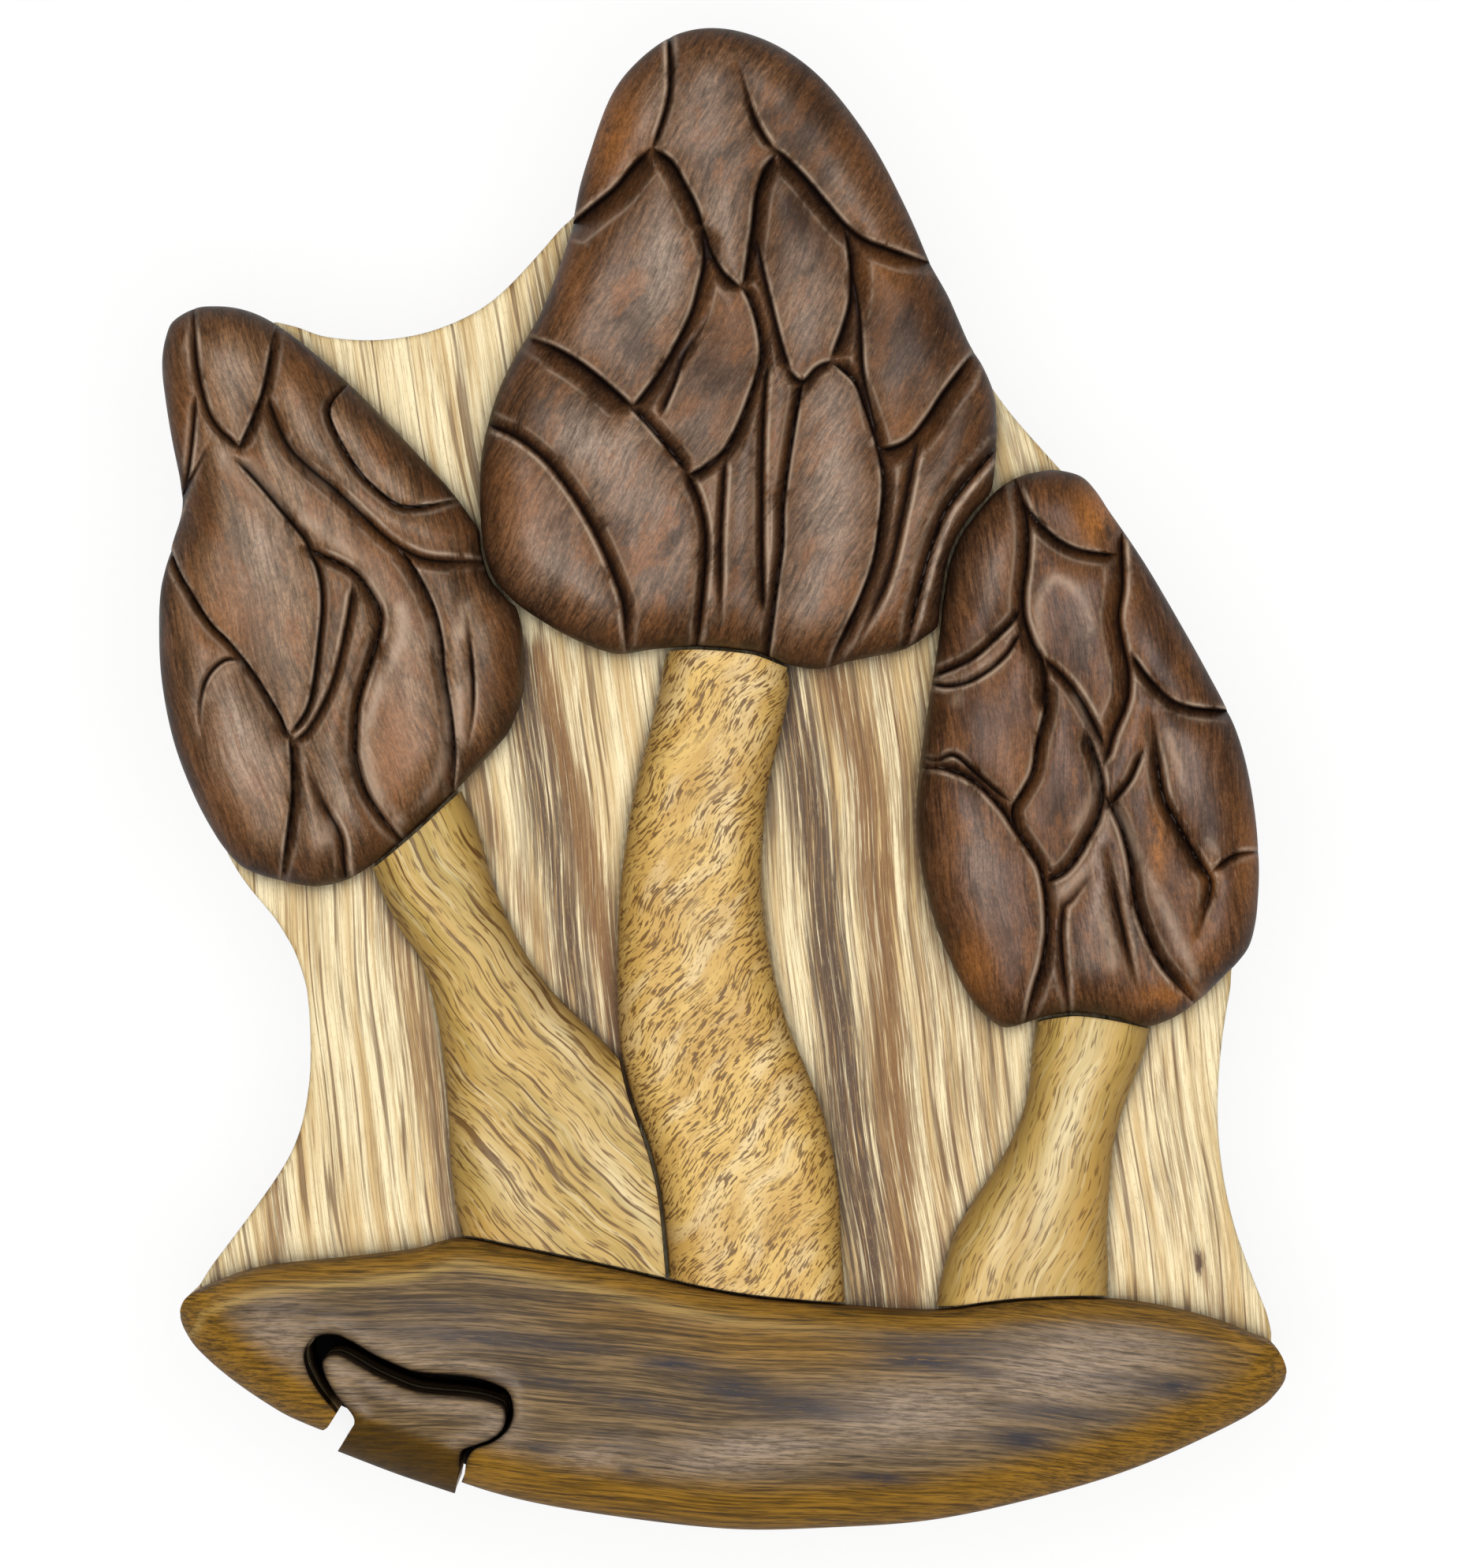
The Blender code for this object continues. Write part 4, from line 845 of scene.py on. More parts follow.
def grain(places, angle, bend=0.0, waves=()):
    """Each place's way along, across and into a grain that runs at this angle.

    The bend curves the grain, and each wave has a height, a length and a start.
    """
    turn = np.radians(angle)
    x, y, z = places.T
    along = x * np.cos(turn) + y * np.sin(turn)
    across = y * np.cos(turn) - x * np.sin(turn) + bend * along**2
    for height, length, start in waves:
        across = across + height * np.sin(2 * np.pi * along / length + start)
    return np.column_stack([along, across, z])


def stand_for(piece, node, finish):
    """Gives the piece its finish and puts it in the place of the CAD node."""
    piece.data.materials.clear()
    piece.data.materials.append(finish)
    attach(piece, frame["nodes"][node]["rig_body"])
    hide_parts(node)


class Finish:
    """One finish. Its nodes are added in the order in which their values flow, and end in the
    shader.
    """

    def __init__(self, name):
        self.material = bpy.data.materials.new(name)
        self.material.use_nodes = True
        self.tree = self.material.node_tree
        self.shader = self.tree.nodes["Principled BSDF"]

    def add(self, kind, sources, **settings):
        node = self.tree.nodes.new("ShaderNode" + kind)
        for key, value in settings.items():
            setattr(node, key, value)
        for socket, source in sources.items():
            if isinstance(source, bpy.types.NodeSocket):
                self.tree.links.new(source, node.inputs[socket])
            else:
                node.inputs[socket].default_value = source
        return node

    def painted(self, name):
        """What was painted on the piece under this name."""
        return self.add("Attribute", {}, attribute_name=name).outputs["Fac"]

    def along_painted_grain(self):
        """Runs the finish's streaks along the grain that was painted on the piece."""
        self.place = self.add("Attribute", {}, attribute_name="grain").outputs["Vector"]

    def along_straight_grain(self, angle):
        """Runs the finish's streaks straight, at this angle on the face."""
        place = self.add("TexCoord", {}).outputs["Object"]
        turned = {"Vector": place, "Rotation": (0, 0, -np.radians(angle)), "Scale": (1, 1, 3)}
        self.place = self.add("Mapping", turned).outputs[0]

    def scaled(self, length, width, start):
        """The place along the grain, in cells of this length and width in millimetres."""
        scale = (1 / (length * MM), 1 / (width * MM), 0.2 / (width * MM))
        sources = {"Vector": self.place, "Location": (start, start, start), "Scale": scale}
        return self.add("Mapping", sources).outputs[0]

    def streaks(self, length, width, detail=3.0, roughness=0.55, start=0.0):
        """Noise drawn out along the grain, in streaks of this length and width in millimetres."""
        sources = {
            "Vector": self.scaled(length, width, start), "Scale": 1.0,
            "Detail": detail, "Roughness": roughness,
        }
        return self.add("TexNoise", sources).outputs["Fac"]

    def flecks(self, length, width, fullness):
        """Scattered short strokes along the grain, one in each cell of this size."""
        sources = {"Vector": self.scaled(length, width, 0.0), "Scale": 1.0}
        cells = self.add("TexVoronoi", sources).outputs["Distance"]
        return self.between(cells, fullness, fullness * 0.45)

    def growth_lines(self, length, width, swirl):
        """Thin wavering lines along the grain, this far apart in millimetres."""
        sources = {
            "Vector": self.scaled(length, width, 0.0), "Scale": 0.314, "Distortion": swirl,
            "Detail": 2.0, "Detail Scale": 3.0, "Detail Roughness": 0.6,
        }
        wave = self.add("TexWave", sources, bands_direction="Y").outputs["Fac"]
        return self.between(wave, 0.8, 0.97)

    def between(self, value, low, high):
        """0 at the low value and 1 at the high one, smoothly."""
        sources = {"Value": value, "From Min": low, "From Max": high}
        return self.add("MapRange", sources, interpolation_type="SMOOTHSTEP").outputs[0]

    def math(self, operation, first, second):
        return self.add("Math", {0: first, 1: second}, operation=operation).outputs[0]

    def product(self, *factors):
        """The factors, times one another."""
        return functools.reduce(lambda first, second: self.math("MULTIPLY", first, second), factors)

    def rising(self, start, value, share):
        """The start, plus this share of the value."""
        return self.math("ADD", start, self.product(value, share))

    def mix(self, amount, first, second, mode="MIX"):
        sources = {0: amount, 6: opaque(first), 7: opaque(second)}
        return self.add("Mix", sources, data_type="RGBA", blend_type=mode).outputs[2]

    def over(self, color, other, *covers):
        """The colour with the other laid over it, by the product of the covers."""
        return self.mix(self.product(*covers), color, other)

    def tones(self, color, value, low, high, first, second):
        """The colour times the first factor at the low value and the second at the high one."""
        return self.mix(self.between(value, low, high), times(color, first), times(color, second))

    def end(self, color, roughness, relief, depth, **constants):
        """Joins the colour, roughness and fine relief, this deep in millimetres, to the shader."""
        bump = self.add("Bump", {"Height": relief, "Strength": 1.0, "Distance": depth * MM})
        links = self.tree.links
        links.new(color, self.shader.inputs["Base Color"])
        links.new(roughness, self.shader.inputs["Roughness"])
        links.new(bump.outputs[0], self.shader.inputs["Normal"])
        for name, value in constants.items():
            self.shader.inputs[name.replace("_", " ")].default_value = value
        return self.material

    def end_satin(self, color, roughness, relief, gleam=0.15):
        """Ends a softly glossy wood with the painted shade in its creases and its fine relief."""
        colors = bpy.context.scene.puzzle_box_colors
        color = self.over(color, colors.crease, self.painted("crease"))
        return self.end(color, roughness, relief, WOOD_RELIEF, Specular_IOR_Level=gleam)


def opaque(color):
    """A colour as a node socket takes it."""
    if isinstance(color, bpy.types.NodeSocket):
        return color
    return (*color, 1.0)


def times(color, factor):
    return tuple(channel * factor for channel in color)


def walnut(name, flat, hair_length):
    """Dark carved wood with amber and orange patches. Painted shade makes it dark amber on its
    slopes and beside its cuts and black in them; painted highlight makes it pale on its worn edges
    and in places, and bright orange on its strongest orange patches.
    """
    colors = bpy.context.scene.puzzle_box_colors
    wood = Finish(name)
    wood.along_painted_grain()
    broad = wood.streaks(8, 3.6, 5, 0.65)
    patches = wood.streaks(6, 2.8, 5, 0.65, start=4.0)
    lines = wood.streaks(hair_length * 3, 0.4, 4, 0.75)
    specks = wood.streaks(0.5, 0.26, 2, 0.8, start=21.0)
    hairs = wood.streaks(hair_length, 0.13, 2, 0.7, start=9.0)
    pale_hairs = wood.streaks(hair_length * 1.2, 0.14, 2, 0.7, start=15.0)
    color = wood.tones(flat, lines, 0.36, 0.64, 0.66, 1.26)
    color = wood.over(color, times(flat, 0.26), wood.between(broad, 0.46, 0.6), 0.75)
    rusty = wood.product(wood.between(patches, 0.49, 0.62), 0.75)
    orange_tone_and_glint = wood.product(wood.painted("orange_tone_and_glint"), wood.between(patches, 0.25, 0.45))
    color = wood.over(color, colors.amber, wood.math("MAXIMUM", rusty, orange_tone_and_glint))
    pale = times(colors.arris, 0.62)
    # Painted highlight: the pale places
    color = wood.over(color, pale, wood.painted("pale"), wood.between(lines, 0.3, 0.6))
    # Painted shade: dark amber where the face slopes
    sloped = wood.tones(colors.amber, lines, 0.36, 0.64, 0.15, 0.65)
    color = wood.over(color, sloped, wood.painted("slope"), 0.85)
    # Painted shade beside the cuts, along the rim and in the dark places, nearly black next to the
    # cuts
    deep = wood.painted("deep")
    shade = wood.tones(colors.amber, patches, 0.4, 0.6, 0.10, 0.38)
    color = wood.over(color, shade, deep, 0.9)
    color = wood.over(color, times(colors.crease, 2.0), wood.math("POWER", deep, 3.0), 0.8)
    # Painted glint: bright orange on the strongest orange places
    color = wood.over(color, colors.orange_tone_and_glint, wood.math("POWER", orange_tone_and_glint, 2.0), 0.7)
    color = wood.over(color, times(flat, 0.15), wood.between(hairs, 0.5, 0.66), 0.35)
    pale = wood.mix(0.5, colors.amber, colors.arris)
    color = wood.over(color, pale, wood.between(pale_hairs, 0.56, 0.72), 0.15)
    grains = wood.tones((1, 1, 1), specks, 0.36, 0.64, 0.78, 1.18)
    color = wood.mix(1.0, color, grains, "MULTIPLY")
    # Worn edges and crests: pale with wear and with a painted highlight
    worn = wood.painted("arris"), wood.between(patches, 0.34, 0.56), 0.75
    color = wood.over(color, colors.arris, *worn)
    dull = wood.math("MAXIMUM", wood.painted("crease"), deep)
    rough = wood.rising(wood.rising(0.14, broad, 0.5), dull, 0.2)
    return wood.end_satin(color, rough, wood.rising(lines, hairs, 0.25))


def streaked_cream(name):
    """Pale wood with brown and grey streaks, which gather in painted bands."""
    colors = bpy.context.scene.puzzle_box_colors
    wood = Finish(name)
    wood.along_painted_grain()
    soft = wood.streaks(40, 1.8, 5, 0.6)
    lines = wood.streaks(20, 0.3, 4, 0.75, start=3.0)
    pale = wood.streaks(14, 0.35, 3, 0.65, start=31.0)
    hairs = wood.streaks(8, 0.17, 2, 0.7, start=6.0)
    dots = wood.streaks(0.7, 0.2, 2, 0.7, start=51.0)
    breaks = wood.streaks(16, 1.3, 2, start=41.0)
    color = wood.mix(wood.between(soft, 0.42, 0.62), colors.cream, colors.straw)
    color = wood.over(color, times(colors.straw, 0.5), wood.between(lines, 0.5, 0.63), 0.55)
    for tone, start in (("brown", 12.0), ("grey", 20.0)):
        band = wood.painted(tone)
        reach = wood.product(band, 0.165)
        weight = wood.rising(0.25, band, 0.72)
        for length, width in ((26, 0.5), (12, 0.24)):
            streaks = wood.streaks(length, width, 4, 0.75, start=start + width)
            amount = wood.between(wood.math("ADD", streaks, reach), 0.58, 0.63)
            color = wood.over(color, getattr(colors, tone), amount, weight)
    color = wood.over(color, colors.cream, wood.between(pale, 0.57, 0.66), 0.5)
    dotted = wood.mix(0.5, colors.brown, colors.straw)
    color = wood.over(color, dotted, wood.between(dots, 0.54, 0.7), 0.3)
    strokes = wood.product(wood.between(hairs, 0.56, 0.66), 0.75)
    color = wood.over(color, wood.mix(0.4, colors.brown, colors.straw), strokes)
    pores = wood.growth_lines(60, 1.5, 7.0), wood.between(breaks, 0.46, 0.58), 0.75
    color = wood.over(color, times(colors.brown, 0.6), *pores)
    relief = wood.math("SUBTRACT", lines, wood.product(strokes, 0.5))
    return wood.end_satin(color, wood.rising(0.4, lines, 0.15), relief)


def wavy_gold(name):
    """Golden wood covered in short dark strokes."""
    colors = bpy.context.scene.puzzle_box_colors
    wood = Finish(name)
    wood.along_painted_grain()
    soft = wood.streaks(9, 2.0, 4)
    light = wood.streaks(7, 2.4, 1, start=3.0)
    fine = wood.streaks(3, 0.3, 3, start=23.0)
    crowd = wood.streaks(9, 5, 2, start=7.0)
    dashes = wood.streaks(1.2, 0.21, 1, start=11.0)
    dots = wood.streaks(0.8, 0.18, 1, start=17.0)
    color = wood.mix(wood.between(soft, 0.38, 0.64), colors.gold, colors.honey)
    color = wood.over(color, colors.cream, wood.between(light, 0.5, 0.68), 0.35)
    # The pale places, partly cream of the wood and partly painted highlight
    color = wood.over(color, colors.cream, wood.painted("pale"), 0.55)
    color = wood.over(color, colors.honey, wood.painted("golden"), 0.5)
    color = wood.over(color, colors.honey, wood.between(fine, 0.5, 0.66), 0.4)
    # Painted shade: darker honey where the sides round over
    color = wood.over(color, times(colors.honey, 0.7), wood.painted("slope"), 0.7)
    strokes = wood.product(wood.between(dashes, 0.54, 0.62), wood.between(crowd, 0.3, 0.46))
    color = wood.over(color, colors.flecks, strokes, 0.85)
    color = wood.over(color, times(colors.flecks, 1.4), wood.between(dots, 0.58, 0.66), 0.6)
    relief = wood.math("SUBTRACT", fine, strokes)
    return wood.end_satin(color, wood.rising(0.38, fine, 0.15), relief)


def olive_gold(name):
    """Olive-gold wood with long dark grain lines, broken up, and pale and golden places."""
    colors = bpy.context.scene.puzzle_box_colors
    wood = Finish(name)
    wood.along_painted_grain()
    soft = wood.streaks(26, 2.2, 4)
    fine = wood.streaks(6, 0.3, 3, start=8.0)
    light = wood.streaks(9, 0.5, 3, start=27.0)
    breaks = wood.streaks(7, 1.0, 2, start=14.0)
    dashes = wood.streaks(2.0, 0.22, 1, start=11.0)
    color = wood.mix(wood.between(soft, 0.36, 0.64), colors.olive, times(colors.gold, 0.8))
    color = wood.over(color, times(colors.honey, 0.92), wood.painted("golden"))
    # The pale places, partly cream of the wood and partly painted highlight
    color = wood.over(color, colors.cream, wood.painted("pale"), 0.65)
    color = wood.over(color, times(colors.honey, 0.8), wood.between(fine, 0.48, 0.68), 0.5)
    color = wood.over(color, colors.cream, wood.between(light, 0.54, 0.68), 0.3)
    # Painted shade: darker honey where the sides round over
    color = wood.over(color, times(colors.honey, 0.6), wood.painted("slope"), 0.7)
    rings, unbroken = wood.growth_lines(22, 0.95, 6.0), wood.between(breaks, 0.42, 0.54)
    dark = wood.product(rings, unbroken, wood.painted("lined"))
    color = wood.over(color, colors.flecks, dark, 0.85)
    color = wood.over(color, colors.flecks, wood.between(dashes, 0.57, 0.66), 0.65)
    relief = wood.math("SUBTRACT", fine, dark)
    return wood.end_satin(color, wood.rising(0.38, fine, 0.15), relief)


def mound_olive(name):
    """Dark olive wood with long streaks, blue-black smudges and amber edges that are partly painted
    shade, smoother in places and with a painted sheen there.
    """
    colors = bpy.context.scene.puzzle_box_colors
    wood = Finish(name)
    wood.along_painted_grain()
    soft = wood.streaks(22, 1.1, 6, 0.7)
    lines = wood.streaks(12, 0.28, 4, 0.8, start=3.0)
    hairs = wood.streaks(4, 0.17, 2, 0.7, start=8.0)
    mottle = wood.streaks(2.4, 0.3, 3, 0.8, start=13.0)
    color = wood.tones(colors.mound, lines, 0.38, 0.62, 0.4, 1.4)
    color = wood.over(color, colors.mound_dark, wood.between(soft, 0.48, 0.59), 0.5)
    # Painted sheen where the finish is smoother
    satin = wood.painted("satin")
    gleam = wood.tones(colors.arris, mottle, 0.34, 0.62, 0.24, 0.78)
    color = wood.over(color, gleam, satin, 0.7)
    # The amber edges, partly painted shade where they round over, and the olive-amber places of the
    # wood
    edge = wood.tones(colors.mound_edge, lines, 0.36, 0.62, 0.35, 1.2)
    color = wood.over(color, edge, wood.painted("slope"))
    # Painted shade: dark amber on the key's steep lower edge
    color = wood.over(color, times(colors.mound_edge, 0.14), wood.painted("deep"), 0.8)
    color = wood.over(color, colors.mound_dark, wood.between(hairs, 0.52, 0.66), 0.6)
    smudge = wood.painted("smudge"), wood.between(mottle, 0.3, 0.52)
    color = wood.over(color, colors.smudge, *smudge)
    # A pale line along the back lip, worn and with a painted highlight
    worn = wood.painted("arris"), wood.between(lines, 0.3, 0.6), 0.8
    color = wood.over(color, times(colors.gold, 0.6), *worn)
    rough = wood.math("SUBTRACT", 0.6, wood.product(satin, 0.2))
    return wood.end_satin(color, rough, wood.rising(lines, hairs, 0.25), gleam=0.1)


def plank(name, flat, angle):
    """A plain sawn board with straight grain along its length, with painted shade in its saw cuts.
    """
    wood = Finish(name)
    wood.along_straight_grain(angle)
    soft = wood.streaks(50, 3.0, 4)
    lines = wood.streaks(24, 0.5, 4, 0.65, start=3.0)
    pores = wood.flecks(3.0, 0.4, 0.2)
    color = wood.tones(flat, lines, 0.3, 0.7, 0.6, 1.2)
    color = wood.over(color, times(flat, 0.75), wood.between(soft, 0.4, 0.7))
    color = wood.over(color, times(flat, 0.3), pores, 0.5)
    # Painted shade on the walls of the saw slot
    crease = bpy.context.scene.puzzle_box_colors.crease
    color = wood.over(color, crease, wood.painted("crease"), 0.7)
    rough = wood.rising(0.42, lines, 0.15)
    return wood.end(color, rough, wood.math("SUBTRACT", lines, pores), BOARD_RELIEF)


def felt_finish():
    """Black flock."""
    flat = bpy.context.scene.puzzle_box_colors.felt
    felt = Finish("black_felt_lining")
    felt.along_straight_grain(0)
    pile = felt.streaks(0.25, 0.25)
    tufts = felt.streaks(3, 3, 2, start=5.0)
    color = felt.tones(flat, pile, 0.35, 0.7, 0.5, 1.9)
    color = felt.over(color, times(flat, 2.2), tufts, 0.4)
    rough = felt.rising(0.9, pile, 0.08)
    return felt.end(color, rough, pile, FELT_RELIEF, Sheen_Weight=0.4, Sheen_Roughness=0.5)


def nickel_finish():
    """Nickel plate with fine turning marks."""
    metal = Finish("nickel_plate")
    metal.along_straight_grain(30)
    marks = metal.streaks(3, 0.08, 2)
    blots = metal.streaks(1.2, 1.2, start=5.0)
    flat = bpy.context.scene.puzzle_box_colors.nickel
    color = metal.tones(flat, blots, 0.4, 0.7, 1.0, 0.85)
    rough = metal.rising(0.2, marks, 0.16)
    return metal.end(color, rough, marks, METAL_RELIEF, Metallic=1.0)


def deselect():
    """Leaves edit mode and selects nothing."""
    if bpy.context.object is not None and bpy.context.object.mode != "OBJECT":
        bpy.ops.object.mode_set(mode="OBJECT")
    bpy.ops.object.select_all(action="DESELECT")


def only(piece):
    """Selects the piece alone and makes it the active one."""
    deselect()
    piece.select_set(True)
    bpy.context.view_layer.objects.active = piece


def ease_edges(piece, width, segments):
    """Rounds the active piece's sharp edges and shades it smooth."""
    ease = piece.modifiers.new("eased_edges", "BEVEL")
    ease.width = width
    ease.segments = segments
    ease.limit_method = "ANGLE"
    ease.angle_limit = np.radians(60)
    bpy.ops.object.modifier_apply(modifier=ease.name)
    bpy.ops.object.shade_smooth_by_angle(angle=np.radians(35))


def sawn_board(node, loops, finish):
    """A board sawn to the loops, with its edges eased, in the place of the node."""
    low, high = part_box(node)
    rings = []
    for loop in loops:
        deselect()
        bpy.ops.mesh.primitive_circle_add(vertices=len(loop))
        ring = bpy.context.object
        heights = np.full(len(loop), low.z)
        ring.data.vertices.foreach_set("co", np.column_stack([loop, heights]).ravel())
        rings.append(ring)
    for ring in rings:
        ring.select_set(True)
    bpy.ops.object.join()
    board = bpy.context.object
    board.name = "sawn_" + node
    bpy.ops.object.mode_set(mode="EDIT")
    bpy.ops.mesh.select_all(action="SELECT")
    if len(loops) > 1:
        bpy.ops.mesh.fill()
    else:
        bpy.ops.mesh.edge_face_add()
    bpy.ops.mesh.extrude_region_move(TRANSFORM_OT_translate={"value": (0, 0, high.z - low.z)})
    bpy.ops.mesh.select_all(action="SELECT")
    bpy.ops.mesh.normals_make_consistent(inside=False)
    bpy.ops.object.mode_set(mode="OBJECT")
    ease_edges(board, bpy.context.scene.puzzle_box_sizes.board_edge, 2)
    places = places_of(board)
    sides = (places[:, 2] > low.z + WELD) & (places[:, 2] < high.z - WELD)
    # Painted shade on the sides that face into the saw slot
    paint(board, crease=sides * in_slot(places[:, :2]))
    stand_for(board, node, finish)
    return board


def bore(board, middle, radius, depth, turned=(0, 0, 0)):
    """A round seat bored in the board, about the cutter's middle."""
    deselect()
    bpy.ops.mesh.primitive_cylinder_add(
        vertices=SEAT_SIDES, radius=radius, depth=depth, location=middle, rotation=turned
    )
    cutter = bpy.context.object
    only(board)
    seat = board.modifiers.new("seat", "BOOLEAN")
    seat.operation = "DIFFERENCE"
    seat.solver = "EXACT"
    seat.object = cutter
    bpy.ops.object.modifier_apply(modifier=seat.name)
    bpy.data.objects.remove(cutter)


def disc_seat(node):
    """The middle of a disc magnet's node and the radius and depth of its seat."""
    low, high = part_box(node)
    clearance = bpy.context.scene.puzzle_box_sizes.seat_clearance
    return (low + high) / 2, (high.x - low.x) / 2 + clearance, high.z - low.z + clearance


def bore_side(board, node, side):
    """The seat of a magnet in a board's side, which faces right (side 1) or left (side -1)."""
    low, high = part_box(node)
    clearance = bpy.context.scene.puzzle_box_sizes.seat_clearance
    end = (high.x if side > 0 else low.x) + side * clearance
    middle = (end - side * SIDE_CUTTER / 2, (low.y + high.y) / 2, (low.z + high.z) / 2)
    bore(board, middle, (high.y - low.y) / 2 + clearance, SIDE_CUTTER, (0, np.pi / 2, 0))


class PUZZLEBOX_OT_case(bpy.types.Operator):
    """Saws the back board and the wall, and bores the wall's seats"""

    bl_idname = "puzzle_box.case"
    bl_label = "Case"

    def execute(self, context):
        colors = context.scene.puzzle_box_colors
        rim = outline("back_panel")
        sawn_board("back_panel", [rim], plank("tan_plank", colors.back, 90))
        compartment = under_loops("case_wall")[1]
        spacing = context.scene.puzzle_box_sizes.line_fineness
        inner = smooth(compartment, spacing, closed=True)
        wall = sawn_board("case_wall", [rim, inner], plank("brown_plank", colors.case, 90))
        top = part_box("case_wall")[1].z
        for number in (1, 2, 3):
            middle, radius, depth = disc_seat(f"case_magnet_{number}")
            bore(wall, (middle.x, middle.y, top), radius, 2 * depth)
        bore_side(wall, "key_seat_magnet", 1)
        return {"FINISHED"}


class PUZZLEBOX_OT_lining(bpy.types.Operator):
    """Lays the felt on the compartment's floor"""

    bl_idname = "puzzle_box.lining"
    bl_label = "Felt lining"

    def execute(self, context):
        sawn_board("compartment_lining", [outline("compartment_lining")], felt_finish())
        return {"FINISHED"}


class PUZZLEBOX_OT_lid_panel(bpy.types.Operator):
    """Makes the pale streaked board that carries the picture"""

    bl_idname = "puzzle_box.lid_panel"
    bl_label = "Lid panel"

    def execute(self, context):
        sizes = context.scene.puzzle_box_sizes
        rim = outline("lid_panel")
        low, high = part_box("lid_panel")

        def height(points):
            edge = rounded(near_loop(points, rim), sizes.arris_width, sizes.arris_drop)
            return high.z - low.z - edge

        seats = []
        for number in (1, 2, 3):
            middle, radius, depth = disc_seat(f"lid_magnet_{number}")
            seats.append((middle.x, middle.y, radius, depth))
        piece = carve("lid_panel", rim, height, PANEL_RINGS, seats=seats)
        places = places_of(piece)
        flat = places[:, :2]
        brown, grey = np.zeros((2, len(flat)))
        for brownness, greyness, half, line in PANEL_BANDS:
            band = beside_line(flat, line, half)
            brown = np.maximum(brown, brownness * band)
            grey = np.maximum(grey, greyness * band)
        grey = np.maximum(grey, spots(flat, PANEL_KNOT, 95))
        upon = ("cap_center", "cap_left", "cap_right", "stem_center", "stem_left", "stem_right",
                "mound")
        edge = near_loop(flat, rim)
        shadow = shade_beside(flat, upon, 0.4 * MM) * np.clip(edge / (0.8 * MM), 0, 1)
        shadow = np.maximum(shadow, 0.85 * in_slot(flat) * np.exp(-edge / (0.1 * MM)))
        waves = ((0.5 * MM, 70 * MM, 0.6), (0.16 * MM, 23 * MM, 2.0))
        lean = grain(places, 97.5, bend=-0.35, waves=waves)
        lean[:, 1] += 0.02 * np.abs(flat[:, 0])
        paint(piece, grain=lean, brown=brown, grey=grey, crease=0.7 * shadow)
        stand_for(piece, "lid_panel", streaked_cream("streaked_cream_panel"))
        return {"FINISHED"}


